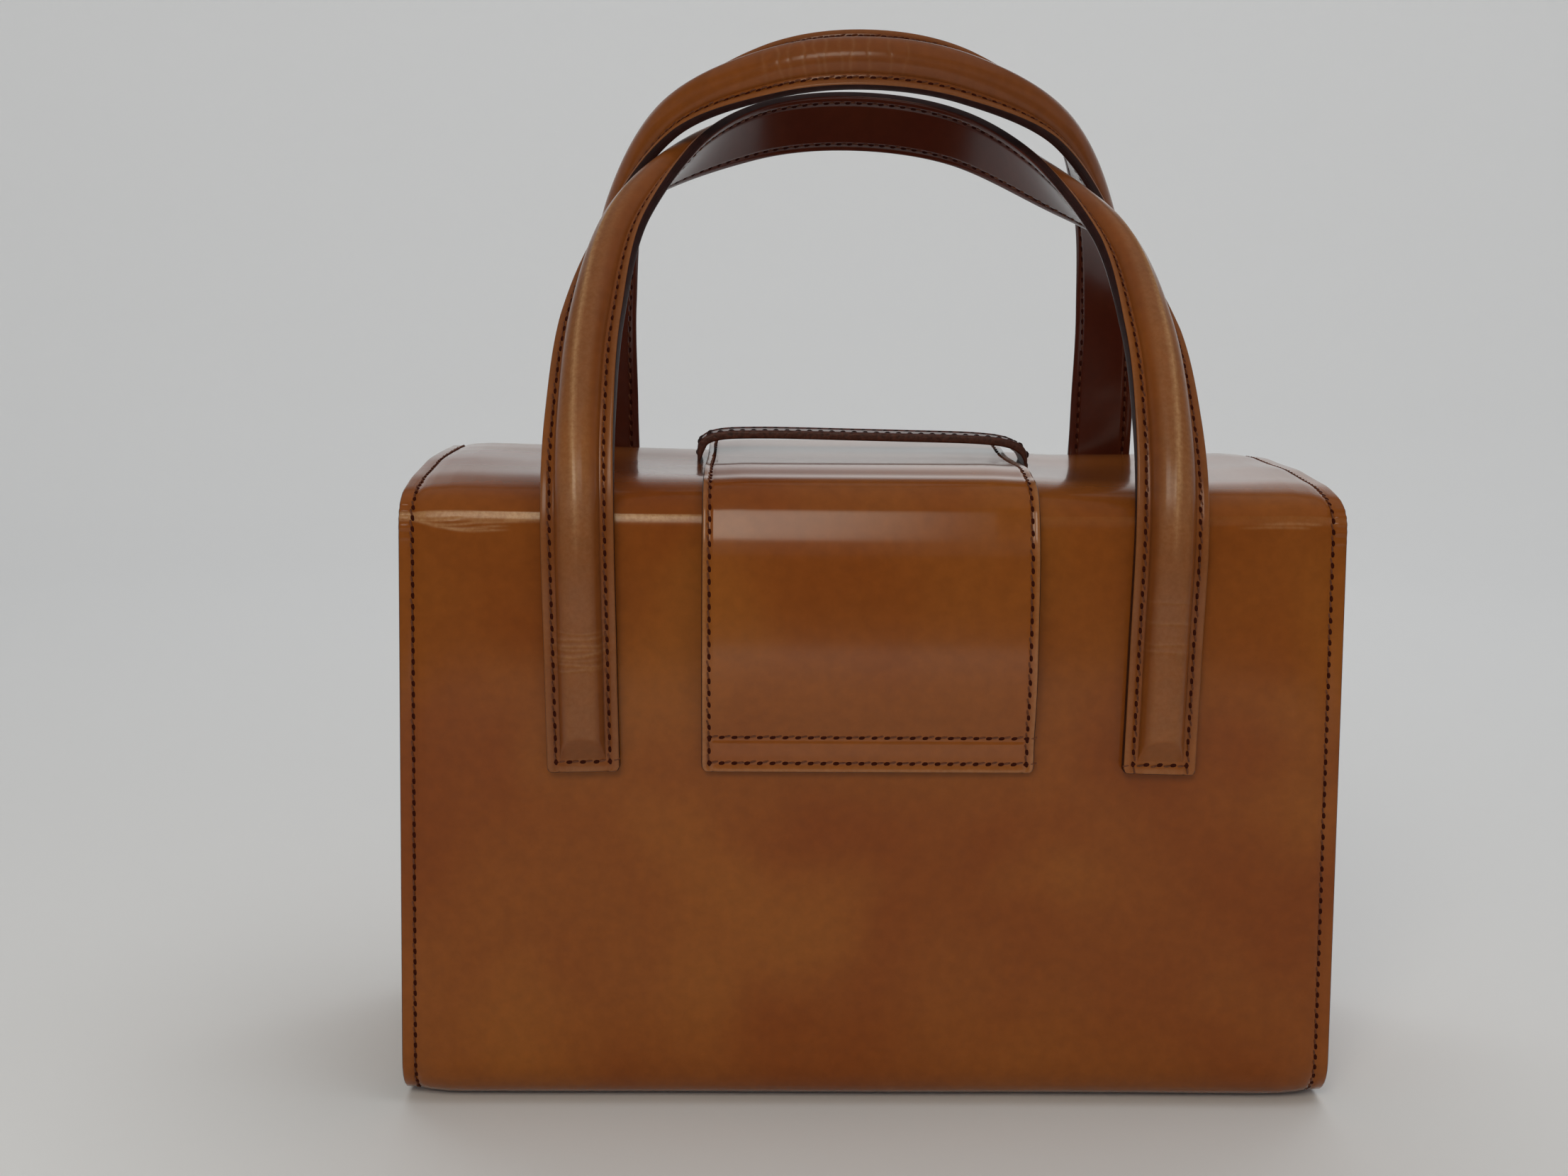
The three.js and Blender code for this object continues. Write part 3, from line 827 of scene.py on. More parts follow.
def spaced(length, step, fine=()):
    """Distances along a piece: even steps, closer ones at the rounded ends and in the fine spans."""
    ends = round_marks(0, 20, 40, 60, 75, 90)
    spans = [np.arange(low, high, close) for low, high, close in fine]
    marks = np.concatenate([np.linspace(0, length, int(length / step) + 1), ends, length - ends, *spans])
    marks = np.unique(np.clip(marks, 0, length).round(3))
    return marks[np.concatenate([[True], np.diff(marks) > LEAST_STEP])]


class Path:
    """Stations along a leather piece: place, direction across, direction out, and distance run."""

    def __init__(self, at, across, out, run, length):
        self.at = at
        self.across = across
        self.out = out
        self.run = run
        self.length = length

    def cut(self, keep):
        """The same path with only the stations that are kept."""
        return Path(self.at[keep], self.across[keep], self.out[keep], self.run[keep], self.length)

    def to_end(self):
        """Distance of each station from the nearer end."""
        return np.minimum(self.run, self.length - self.run)[:, None]

    def half_width(self, half, corner):
        """Half the width at each station of a piece whose corners are cut round."""
        inside = np.clip(corner - self.to_end(), 0, corner)
        return half - corner + np.sqrt(corner ** 2 - inside ** 2)

    def place(self, sides, heights):
        """Points at the given distances across and heights above each station."""
        wide = self.across[:, None] * sides[..., None]
        high = self.out[:, None] * heights[..., None]
        return self.at[:, None] + wide + high


def edge_drop(distance):
    """How far a rounded cut edge lies below the flat of the leather."""
    left = np.clip(EDGE_ROUND - distance, 0.0, EDGE_ROUND)
    return EDGE_ROUND - np.sqrt(np.maximum(EDGE_ROUND ** 2 - left ** 2, 0.0))


def seam_groove(distance, depth, half_width=GROOVE):
    """Depth of the groove that a seam pulls, at a distance from the seam."""
    return depth * np.exp(-((distance / half_width) ** 2))


def side_marks(half_width, close, wide, count):
    """Positions across a piece, close together near both edges."""
    near = np.concatenate([round_marks(0, 25, 50, 70, 90), np.arange(EDGE_ROUND + close, wide, close)])
    middle = np.linspace(-(half_width - wide), half_width - wide, count)
    return np.concatenate([near - half_width, middle, half_width - near[::-1]])


def add_object(name, mesh, materials, context):
    """Puts a mesh into the scene with the named materials."""
    for material in materials:
        mesh.materials.append(finish_of(context, material))
    obj = bpy.data.objects.new(name, mesh)
    context.scene.collection.objects.link(obj)
    return obj


def closed_sheet(name, path, sides, top, bottom, edge_distance, context, wear=None,
                 finishes=("glazed_calf_leather", "painted_edge", "suede_inside")):
    """A closed leather piece between its top and bottom heights, with painted cut edges."""
    upper = path.place(sides, top)
    lower = path.place(sides, bottom)[:, ::-1]
    rings = np.concatenate([upper, lower], axis=1)
    rows, size, _ = rings.shape
    half = size // 2
    near = np.concatenate([edge_distance, edge_distance[:, ::-1]], axis=1)
    index = np.arange(rows * size).reshape(rows, size)
    nxt = np.roll(index, -1, axis=1)
    quads = np.stack([index[:-1], nxt[:-1], nxt[1:], index[1:]], axis=-1).reshape(-1, 4)
    far_near = np.maximum(near, np.roll(near, -1, axis=1))
    painted = np.maximum(far_near[:-1], far_near[1:]) < PAINT_WIDTH
    column = np.arange(size)
    under = np.broadcast_to(column >= half, painted.shape)
    on_edge = np.broadcast_to((column == half - 1) | (column == size - 1), painted.shape)
    tags = np.where(painted | on_edge, 1, np.where(under, 2, 0)).reshape(-1)
    j = np.arange(half - 1)
    cap = np.stack([j, size - 1 - j, size - 2 - j, j + 1], axis=-1)
    quads = np.concatenate([quads, cap, (cap + (rows - 1) * size)[:, ::-1]])
    tags = np.concatenate([tags, np.ones(2 * len(cap), int)])
    points = rings.reshape(-1, 3)
    a, b, c, d = (points[quads[:, k]] for k in range(4))
    volume = np.sum(a * np.cross(b, c)) + np.sum(a * np.cross(c, d))
    if volume < 0:
        quads = quads[:, ::-1]
    mesh = bpy.data.meshes.new(name)
    mesh.from_pydata(points * MM, [], quads.tolist())
    obj = add_object(name, mesh, finishes, context)
    mesh.polygons.foreach_set("material_index", tags.astype(np.int32))
    mesh.shade_smooth()
    mesh.set_sharp_from_angle(angle=SHARP_ANGLE)
    if wear is not None:
        both = np.concatenate([wear, np.zeros_like(wear)], axis=1)
        attribute = mesh.attributes.new("wear", "FLOAT", "POINT")
        attribute.data.foreach_set("value", both.reshape(-1).astype(np.float32))
    mesh.update()
    return obj


def turned_mesh(name, rings, closed):
    """A mesh of rings of points round an axis, capped at the first ring and, if closed, at the last."""
    rows, count, _ = rings.shape
    index = np.arange(rows * count).reshape(rows, count)
    nxt = np.roll(index, -1, axis=1)
    faces = np.stack([index[:-1], index[1:], nxt[1:], nxt[:-1]], axis=-1).reshape(-1, 4).tolist()
    faces.append(index[0].tolist())
    if closed:
        faces.append(index[-1][::-1].tolist())
    mesh = bpy.data.meshes.new(name)
    mesh.from_pydata(rings.reshape(-1, 3), [], faces)
    mesh.shade_smooth()
    return mesh


def seat(obj, slot, *nodes):
    """Fixes a finished piece to the bag, in the place of its solids."""
    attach(obj, BODY)
    if nodes:
        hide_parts(*nodes)


def half_width_at(z):
    """Half the width of the body at a height."""
    return HALF_BASE + (HALF_TOP - HALF_BASE) * z / CREASE_Z


def arc(centre, radius, start, end, steps=16):
    """Points of an arc, between two angles in degrees."""
    turns = np.radians(np.linspace(start, end, steps + 1))
    return np.stack([centre[0] + radius * np.cos(turns), centre[1] + radius * np.sin(turns)], axis=1)


def lid_line():
    """Outside of the lid under the tab, in depth and height."""
    inward, rise = (curve for curve, _ in smooth_rows(LID_ROWS, CURVE_STEPS))
    return np.stack([inward - HALF_DEPTH, rise + CREASE_Z], axis=1)


def lid_warp(inward, x):
    """How much higher the lid stands beside the tab than under it."""
    where, *ends = (curve for curve, _ in smooth_rows(LID_END_ROWS, CURVE_STEPS))
    left, right = (np.interp(inward, where, end) for end in ends)
    beside = (np.clip((side * x - LID_EVEN_TO) / LID_WARP_REACH, 0, 1) for side in (-1, 1))
    to_left, to_right = (share ** LID_WARP_POWER for share in beside)
    dip = LID_DIP * smoothstep(LID_EVEN_TO, LID_EVEN_TO + LID_DIP_REACH, x) * (1 - to_right)
    lid_end = 2 * HALF_DEPTH
    dip = dip * smoothstep(*LID_DIP_FROM, inward) * smoothstep(lid_end, lid_end - LID_DIP_ENDS, inward)
    return left * to_left + right * to_right - dip


def panel_line():
    """Outside of the wrap from the front panel's top to the crease, in depth and height."""
    side = HALF_DEPTH - BASE_RADIUS
    return np.concatenate([
        [(HALF_DEPTH, CREASE_Z - LID_SEAM)],
        arc((side, BASE_RADIUS), BASE_RADIUS, 0, -90),
        arc((-side, BASE_RADIUS), BASE_RADIUS, -90, -180),
        arc((LIP_RADIUS - HALF_DEPTH, CREASE_Z - LIP_BELOW), LIP_RADIUS, 180, 180 - LIP_TURN),
    ])


def profile_path(line, runs, reach=DIRECTION_REACH, axis=0, place=0.0):
    """Stations of a piece that follows a line in an upright plane. Its width runs along the given axis,
    which the plane meets at the given place. Its direction is taken over the reach to both sides."""
    length = run_of(line)[-1]
    ahead = at_runs(line, np.clip(runs + reach, 0, length))
    behind = at_runs(line, np.clip(runs - reach, 0, length))
    way = unit(ahead - behind)
    at, across, out = np.zeros((3, len(runs), 3))
    plane = [1 - axis, 2]
    at[:, plane] = at_runs(line, runs)
    at[:, axis] = place
    across[:, axis] = 1.0
    out[:, plane] = np.stack([-way[:, 1], way[:, 0]], axis=1)
    return Path(at, across, out, runs, length)


def body_path(softness):
    """The wrap from the front panel's top, under the base and over the back into the lid."""
    panel = panel_line()
    line = soften(np.concatenate([panel, lid_line()[1:]]), softness, LINE_STEP)
    crease = run_of(panel)[-1]
    before, after = CREASE_SPAN
    runs = spaced(run_of(line)[-1], BODY_STEP, [(crease - before, crease + after, CREASE_STEP)])
    return profile_path(line, runs), crease


def crease_folds(x, below):
    """Depth of the fine folds under the crease."""
    depth = np.zeros(np.broadcast(x, below).shape)
    for middle, half_length, drop, sag, deep in CREASE_FOLDS:
        share = (x - middle) / half_length
        line = drop + sag * (1 - share ** 2)
        profile = np.exp(-((below - line) / FOLD_HALF_WIDTH) ** 2)
        depth += deep * profile * (1 - smoothstep(FOLD_FADE, 1.0, np.abs(share)))
    return depth


def panel_slack(x, run):
    """How far the panels sink, as a share of the slack: evenly, in a slow swell and in a ripple."""
    across, down = SWELL_STARTS
    swell = np.sin(x / SWELL_ACROSS + across) * np.sin(run / SWELL_ALONG + down)
    ripple = np.sin(x / RIPPLE_ACROSS + run / RIPPLE_ALONG)
    return SLACK_EVEN + SLACK_SWELL * (swell + RIPPLE_SHARE * ripple)


def body_heights(path, crease, x, sizes):
    """Outer and inner height of the wrap: pressed margins, seam groove, slack middle and worn crease."""
    in_from_side = half_width_at(path.at[:, 2:]) - np.abs(x)
    pressed = PRESSED_BY * np.interp(in_from_side, *np.array(PRESSED_ROWS).T)
    groove = seam_groove(in_from_side - BODY_SEAM_IN, sizes.groove_depth / MM, BODY_GROOVE)
    run = path.run[:, None]
    slack = sizes.slack / MM * panel_slack(x, run) * smoothstep(*SLACK_FROM, in_from_side)
    warp = np.where(run > crease, lid_warp(path.at[:, 1:2] + HALF_DEPTH, x), 0.0)
    folds = crease_folds(x, crease - run)
    near_crease = np.exp(-(((run - crease) / CREASE_SAG_REACH) ** 2))
    sag = CREASE_SAG * near_crease * (1 - smoothstep(*CREASE_SAG_FADE, np.abs(x)))
    on_edge = 1 - smoothstep(CRINKLE_EDGE, BODY_SEAM_IN, in_from_side)
    crinkle = CRINKLE_DEPTH * np.sin((run - crease) * CRINKLE_RATE) * near_crease * on_edge
    distance = np.minimum(in_from_side, path.to_end())
    carried = warp - pressed - sag
    top = carried + crinkle - groove - slack - folds - edge_drop(distance)
    bottom = carried - WALL + edge_drop(distance)
    return top, bottom, distance


def body_wear_and_highlight(path, crease, x):
    """Where the crease and the margins are rubbed pale, and where a highlight is painted along the crease's
    left part.
    """
    from_crease = path.run[:, None] - crease
    lip = smoothstep(*CREASE_RUBBED_ABOVE, from_crease) * (1 - smoothstep(*CREASE_RUBBED_BELOW, -from_crease))
    painted_highlight = sum(deep * np.exp(-((x - place) / reach) ** 2) for place, reach, deep in CREASE_PAINTED_HIGHLIGHTS)
    # At its left the crease is paler from rubbing and from a painted highlight of the key light
    left = CREASE_LEFT_WEAR_AND_HIGHLIGHT * (1 - smoothstep(*CREASE_LEFT_TO, x))
    right = CREASE_RIGHT_WEAR * smoothstep(*CREASE_RIGHT_FROM, x)
    folds = FOLD_WEAR * crease_folds(x, -from_crease)
    in_from_side = half_width_at(path.at[:, 2:]) - np.abs(x)
    margin = BODY_MARGIN_WEAR * (1 - smoothstep(BODY_MARGIN_RUBBED_FROM, BODY_SEAM_IN, in_from_side))
    return np.clip(lip * (CREASE_WEAR + left + painted_highlight + right) + folds + margin, 0, MOST_WEAR)


class BAG_OT_body(bpy.types.Operator):
    """Make the body: one wrap of leather that forms the front, base, back and lid"""

    bl_idname = "bag.body"
    bl_label = "Body"

    def execute(self, context):
        sizes = context.scene.bag_sizes
        path, crease = body_path(sizes.crease_softness / MM)
        half = half_width_at(path.at[:, 2:])
        marks = side_marks(HALF_BASE, close=0.55, wide=20.0, count=44)
        x = marks[None, :] * half / HALF_BASE
        top, bottom, distance = body_heights(path, crease, x, sizes)
        wear = body_wear_and_highlight(path, crease, x)
        body = closed_sheet("body", path, x, top, bottom, distance, context, wear)
        seat(body, "glazed_leather", "body_wrap")
        return {"FINISHED"}


def gusset_mesh(side, context):
    """End panel with a soft fold down its middle and flanges turned out along the wrap."""
    behind = PRESSED_BY + WALL + GAP
    reach = HALF_DEPTH - behind
    corner = BASE_RADIUS - behind
    margin = np.arange(0, GUSSET_MARGIN, GUSSET_FINE_STEP)
    steps = np.concatenate([margin, np.linspace(GUSSET_PANEL_FROM, reach, GUSSET_PANEL_MARKS)])
    y = np.concatenate([steps - reach, (reach - steps)[-2::-1]])
    over = np.maximum(np.abs(y) - (reach - corner), 0.0)
    bottom = BASE_RADIUS - np.sqrt(np.maximum(corner ** 2 - over ** 2, 0.0))
    bottom = np.where(over > 0, bottom, behind)
    lid = lid_line()
    raised = lid_warp(y + HALF_DEPTH, side * (HALF_TOP - GUSSET_INSET - GUSSET_FOLD))
    dropped = GUSSET_TOP_DROP * smoothstep(GUSSET_TOP_DROP_FROM, reach, np.abs(y))
    top = np.interp(y, lid[:, 0], lid[:, 1]) + raised - behind - GAP - dropped
    lower = np.linspace(GUSSET_PANEL_FROM, GUSSET_LOWER_TO, GUSSET_LOWER_MARKS)
    upper = np.linspace(*GUSSET_UPPER, GUSSET_UPPER_MARKS)
    up = np.concatenate([margin, lower, upper]) / GUSSET_UPPER[1]
    z = bottom[None, :] + up[:, None] * (top - bottom)[None, :]
    inside = np.minimum(reach - np.abs(y)[None, :], z - behind)
    in_corner = (over[None, :] > 0) & (z < BASE_RADIUS)
    round_in = corner - np.hypot(over[None, :], z - BASE_RADIUS)
    inside = np.where(in_corner, round_in, inside)
    share = np.abs(y)[None, :] / reach
    ridge = 1 + GUSSET_FOLD_ROUND - np.hypot(share, GUSSET_FOLD_ROUND)
    fold = GUSSET_FOLD * ridge * smoothstep(0, FLANGE_TOP, z)
    below, above = FLANGE_FADE
    turned = 1 - smoothstep(FLANGE_TOP - below, FLANGE_TOP + above, z)
    flange = turned * (1 - smoothstep(0.0, FLANGE_WIDTH, inside))
    inset = (GUSSET_INSET + fold) * (1 - flange) + FLANGE_BEHIND_EDGE * flange
    x = side * (half_width_at(z) - inset)
    points = np.stack([x, np.broadcast_to(y, z.shape), z], axis=-1)
    rows, columns, _ = points.shape
    index = np.arange(rows * columns).reshape(rows, columns)
    quads = np.stack([index[:-1, :-1], index[:-1, 1:], index[1:, 1:], index[1:, :-1]], axis=-1).reshape(-1, 4)
    if side < 0:
        quads = quads[:, ::-1]
    name = "gusset_left_leather" if side < 0 else "gusset_right_leather"
    mesh = bpy.data.meshes.new(name)
    mesh.from_pydata(points.reshape(-1, 3) * MM, [], quads.tolist())
    mesh.shade_smooth()
    obj = add_object(name, mesh, ("glazed_calf_leather", "painted_edge"), context)
    wall = obj.modifiers.new("wall", "SOLIDIFY")
    wall.thickness = GUSSET_WALL * MM
    wall.offset = -1.0
    wall.material_offset_rim = 1
    return obj


class BAG_OT_gussets(bpy.types.Operator):
    """Make the two folded end panels"""

    bl_idname = "bag.gussets"
    bl_label = "Gussets"

    def execute(self, context):
        seat(gusset_mesh(-1, context), "glazed_leather", "gusset_left")
        seat(gusset_mesh(1, context), "glazed_leather", "gusset_right")
        return {"FINISHED"}


def tab_path():
    """Line under the tab: up the back, over the lid, and down the front, off it by the snap's height."""
    stand, height = (curve for curve, _ in smooth_rows(TAB_STAND_OFF_ROWS, TAB_CURVE_STEPS))
    up = np.stack([-HALF_DEPTH - stand, height], axis=1)
    lid = lid_line()
    lid = lid[lid[:, 0] > up[-1, 0] + TAB_ONTO_LID]
    drops = np.linspace(TAB_DROP_START, TAB_DROP_FULL, TAB_DROP_MARKS)
    stand_off = (SNAP_HEIGHT + GAP) * smoothstep(TAB_DROP_START, TAB_DROP_FULL, drops)
    down = np.stack([HALF_DEPTH + stand_off, CREASE_Z - drops], axis=1)
    end = np.array([(HALF_DEPTH + stand_off[-1], TAB_FRONT_END)])
    line = soften(np.concatenate([up, lid, down, end]), TAB_STIFFNESS, LINE_STEP)
    path = profile_path(line, spaced(run_of(line)[-1], TAB_STEP))
    path.at = path.at + np.array([TAB_CENTRE_X, 0, 0]) + path.out * TAB_LIFT
    return path


def tab_heights(path, x, sizes):
    """Top and underside of the tab: flat sewn margin, full middle, rounded cut edge."""
    half = path.half_width(TAB_HALF_WIDTH, TAB_CORNER)
    in_from_side = half - np.abs(x)
    distance = np.minimum(in_from_side, path.to_end())
    run = path.run[:, None]
    groove = seam_groove(in_from_side - TAB_SEAM_IN, sizes.groove_depth / MM)
    rows = sum(seam_groove(run - row, sizes.groove_depth / MM) for row in TAB_ROWS)
    rows = rows * smoothstep(*TAB_ROW_ENDS, in_from_side)
    full = smoothstep(TAB_SEAM_IN, TAB_FULL_IN, in_from_side) * smoothstep(*TAB_FULL_FROM, run)
    top = TAB_WALL + TAB_FULLNESS * full - np.maximum(groove, rows) - edge_drop(distance)
    bottom = np.broadcast_to(edge_drop(distance), top.shape)
    return top, bottom, distance


def snap_button(context):
    """Flat press stud turned about the depth axis."""
    radius, height = np.array(SNAP_ROWS).T[:, :, None]
    turns = np.linspace(0, 2 * math.pi, SNAP_TURNS, endpoint=False)
    rings = np.stack([
        TAB_CENTRE_X + radius * np.cos(turns),
        HALF_DEPTH + GAP + height + 0 * turns,
        SNAP_Z + radius * np.sin(turns)], axis=-1)
    mesh = turned_mesh("snap_button", rings * MM, closed=True)
    mesh.set_sharp_from_angle(angle=SHARP_ANGLE)
    return add_object("snap_button", mesh, ("dull_brass",), context)


class BAG_OT_tab(bpy.types.Operator):
    """Make the closure tab and its snap"""

    bl_idname = "bag.tab"
    bl_label = "Closure tab"

    def execute(self, context):
        sizes = context.scene.bag_sizes
        path = tab_path()
        marks = side_marks(TAB_HALF_WIDTH, close=0.4, wide=13.0, count=22)
        x = marks[None, :] * path.half_width(TAB_HALF_WIDTH, TAB_CORNER) / TAB_HALF_WIDTH
        top, bottom, distance = tab_heights(path, x, sizes)
        wear = MARGIN_WEAR * (1 - smoothstep(MARGIN_RUBBED_FROM, TAB_SEAM_IN, distance))
        finishes = ("polished_calf_leather", "painted_edge", "suede_inside")
        tab = closed_sheet("closure_tab_leather", path, x, top, bottom, distance, context, wear, finishes)
        seat(tab, "glazed_leather", "closure_tab")
        seat(snap_button(context), "snap_brass", "tab_snap")
        return {"FINISHED"}


def keeper_path():
    """Line along the outside of the loop, from one foot over the tab to the other."""
    line = np.stack([curve for curve, _ in smooth_rows(KEEPER_ROWS, CURVE_STEPS)], axis=1)
    line = soften(line, KEEPER_STIFFNESS, KEEPER_LINE_STEP)
    runs = spaced(run_of(line)[-1], KEEPER_STEP)
    return profile_path(line, runs, KEEPER_DIRECTION_REACH, axis=1, place=KEEPER_CENTRE_Y)


def keeper_heights(path, y, sizes):
    """Outside and inside of the loop: seam grooves, a far edge that turns up, and thin feet."""
    in_from_side = KEEPER_HALF_WIDTH - np.abs(y)
    distance = np.minimum(in_from_side, path.to_end())
    groove = seam_groove(in_from_side - KEEPER_SEAM_IN, sizes.groove_depth / MM)
    lip = KEEPER_LIP * (1 - smoothstep(KEEPER_LIP_EDGE, KEEPER_SEAM_IN, in_from_side)) * (y > 0)
    top = lip - groove - edge_drop(distance)
    full = smoothstep(0, KEEPER_FOOT_REACH, path.to_end())
    thick = KEEPER_WALL * (KEEPER_FOOT_SHARE + (1 - KEEPER_FOOT_SHARE) * full)
    bottom = -thick + edge_drop(distance)
    return top, bottom, distance


class BAG_OT_keeper(bpy.types.Operator):
    """Make the loop on the lid that holds the tab down"""

    bl_idname = "bag.keeper"
    bl_label = "Loop"

    def execute(self, context):
        sizes = context.scene.bag_sizes
        path = keeper_path()
        marks = side_marks(KEEPER_HALF_WIDTH, close=0.35, wide=3.6, count=7)
        y = np.broadcast_to(marks, (len(path.run), len(marks)))
        top, bottom, distance = keeper_heights(path, y, sizes)
        finishes = ("oiled_strap_leather", "burnished_edge", "oiled_strap_leather")
        loop = closed_sheet("loop", path, y, top, bottom, distance, context, finishes=finishes)
        seat(loop, "dark_leather", "tab_keeper")
        return {"FINISHED"}


def handle_spans(length, foot):
    """Spans of a handle that are drawn finely: wrinkled legs, wrinkled arch and sewn ends."""
    low = LEFT_LEG_WRINKLES[0][0] - SPAN_MARGIN - foot
    high = RIGHT_LEG_WRINKLES[-1][0] + SPAN_MARGIN - foot
    before, after = ARCH_SPAN
    end = RIDGE_FULL + SPAN_MARGIN
    return [
        (low, high, WRINKLE_STEP),
        (length - high, length - low, WRINKLE_STEP),
        (length / 2 - before, length / 2 + after, ARCH_STEP),
        (0, end, STRAP_END_STEP),
        (length - end, length, STRAP_END_STEP),
    ]


def handle_path(rows, face, sway, shoulder):
    """Stations of a whole handle. Face is -1 for the back handle and 1 for the front one."""
    past_top = np.array(rows[-2], float) * np.array([-1, 1, 1, 1])
    curves = smooth_rows(rows, HANDLE_CURVE_STEPS, [past_top])
    (out, out_slope), (inward, in_slope), (up, up_slope), (turn, _) = curves
    start = HALF_DEPTH + 2 * GAP + LINING_WALL + GAP
    at = np.stack([-out, inward - start, up], axis=1)
    way = unit(np.stack([-out_slope, in_slope, up_slope], axis=1))
    facing = np.array([0.0, -1.0, 0.0])
    facing = unit(facing - way * (way @ facing)[:, None])
    angle = -np.radians(turn)[:, None]
    pad = facing * np.cos(angle) + np.cross(way, facing) * np.sin(angle)
    across = np.cross(way, pad)
    flip = np.array([-1.0, 1.0, 1.0])
    to_face = np.array([1.0, -face, 1.0])
    at, pad, across = (np.concatenate([v, v[-2::-1] * flip]) * to_face for v in (at, pad, across))
    x, _, z = at.T
    near = shoulder * np.exp(-((x - SHOULDER_X) / SHOULDER_REACH) ** 2) * smoothstep(*SHOULDER_FROM, z)
    twist = np.radians(SHOULDER_TWIST) * near[:, None]
    turned_pad = pad * np.cos(twist) + across * np.sin(twist)
    across = across * np.cos(twist) - pad * np.sin(twist)
    lift = SHOULDER_LIFT * near - sway * x * smoothstep(CREASE_Z, rows[-1][2], z)
    at = at + lift[:, None] * np.array([0.0, 0.0, 1.0])
    own = run_of(at)
    runs = spaced(own[-1], STRAP_STEP, handle_spans(own[-1], rows[0][2]))
    at, pad, across = (
        np.stack([np.interp(runs, own, column) for column in v.T], axis=1) for v in (at, turned_pad, across))
    return Path(at, unit(across), unit(pad), runs, own[-1])


def lower_of(a, b, blend):
    """The lower of two heights, rounded where they meet."""
    return 0.5 * (a + b - np.sqrt((a - b) ** 2 + blend ** 2))


def leg_wrinkles(path, sides):
    """Depth of the cross wrinkles on the legs and the arch of a handle."""
    depth = np.zeros((len(path.run), sides.shape[-1]))
    z = path.at[:, 2:]
    left = path.at[:, 0:1] < 0
    for rows, here in ((LEFT_LEG_WRINKLES, left), (RIGHT_LEG_WRINKLES, ~left)):
        for height, deep, half_width, tilt in rows:
            wander = LEG_WANDER * np.sin(sides * LEG_WANDER_RATE + height)
            line = z - height - tilt * sides - wander
            depth = depth + here * deep * np.exp(-(line / half_width) ** 2)
    for place, deep, tilt in ARCH_WRINKLES:
        wander = ARCH_WANDER * np.sin(sides * ARCH_WANDER_RATE + place)
        line = path.at[:, 0:1] - place - tilt * sides - wander
        depth = depth + (z > ARCH_FROM) * deep * np.exp(-(line / ARCH_WRINKLE_WIDTH) ** 2)
    return depth * smoothstep(STRAP_HALF_WIDTH, WRINKLED_WITHIN, np.abs(sides))


def ridge_shape(path, sides):
    """Section of the padded ridge as a share of its height, and the slope that ends it."""
    share = np.clip(np.abs(sides) / RIDGE_HALF_WIDTH, 0, 1)
    on_leg = 1 - smoothstep(*LEG_ENDS, path.at[:, 2:])
    flatness = ARCH_FLATNESS + (LEG_FLATNESS - ARCH_FLATNESS) * on_leg
    crown = RIDGE_CROWN * share ** 2 * (1 - share ** RIDGE_CROWN_POWER)
    section = (1 - share ** flatness) ** RIDGE_SHOULDER_POWER - crown
    slope = np.clip((path.to_end() - RIDGE_START) / (RIDGE_FULL - RIDGE_START), 0, RIDGE_SLOPE_MOST)
    return section, slope


def limb_crest(path, sides):
    """How far a handle is in its bent part, and how near to the crest of its ridge."""
    z = path.at[:, 2:]
    limb = smoothstep(*LIMB_FROM, z) * (1 - smoothstep(*LIMB_TO, z))
    return limb, limb * np.exp(-(sides / CREST_HALF_WIDTH) ** 2)


def cover_heights(path, sides, sizes):
    """Top and underside of a padded strap: sewn flanges and a raised ridge."""
    in_from_side = path.half_width(STRAP_HALF_WIDTH, STRAP_CORNER) - np.abs(sides)
    distance = np.minimum(in_from_side, path.to_end())
    section, slope = ridge_shape(path, sides)
    ridge = RIDGE_HEIGHT * np.maximum(lower_of(section, slope, RIDGE_BLEND), 0)
    groove = seam_groove(in_from_side - STRAP_SEAM_IN, sizes.groove_depth / MM, STRAP_GROOVE)
    row = seam_groove(path.to_end() - STRAP_ROW, sizes.groove_depth / MM, STRAP_GROOVE)
    row = STRAP_ROW_SHARE * row * smoothstep(*STRAP_ROW_ENDS, in_from_side)
    crest = CREST_HEIGHT * limb_crest(path, sides)[1]
    sunk = np.maximum(groove, row) + leg_wrinkles(path, sides) + edge_drop(distance)
    top = STRAP_WALL + ridge + crest - sunk
    bottom = np.full(top.shape, (GLUE_GAP - GAP) / 2)
    return top, bottom, distance


def lining_heights(path, sides, sizes):
    """Top and underside of the flat lining under a strap, thicker where it lies on the body."""
    in_from_side = path.half_width(STRAP_HALF_WIDTH, STRAP_CORNER) - np.abs(sides)
    distance = np.minimum(in_from_side, path.to_end())
    groove = seam_groove(in_from_side - STRAP_SEAM_IN, sizes.groove_depth / MM, STRAP_GROOVE)
    on_body = 1 - smoothstep(*LINING_LIFTS, path.at[:, 2:])
    thick = LINING_WALL + LINING_THICKER * on_body
    lower = -GAP - thick + groove * (1 - on_body) + edge_drop(distance)
    upper = np.full(lower.shape, -(GLUE_GAP + GAP) / 2)
    return upper, lower, distance


def strap_marks():
    """Positions across a strap: flange, ridge and flange."""
    turns = np.radians(np.linspace(0, 180, RIDGE_MARKS))
    ridge = RIDGE_HALF_WIDTH * -np.cos(turns)
    flange_end = STRAP_HALF_WIDTH - RIDGE_HALF_WIDTH - FLANGE_STOP
    flange = np.concatenate([round_marks(0, 30, 60, 90), np.arange(FLANGE_FIRST, flange_end, FLANGE_STEP)])
    return np.concatenate([flange - STRAP_HALF_WIDTH, ridge, STRAP_HALF_WIDTH - flange[::-1]])


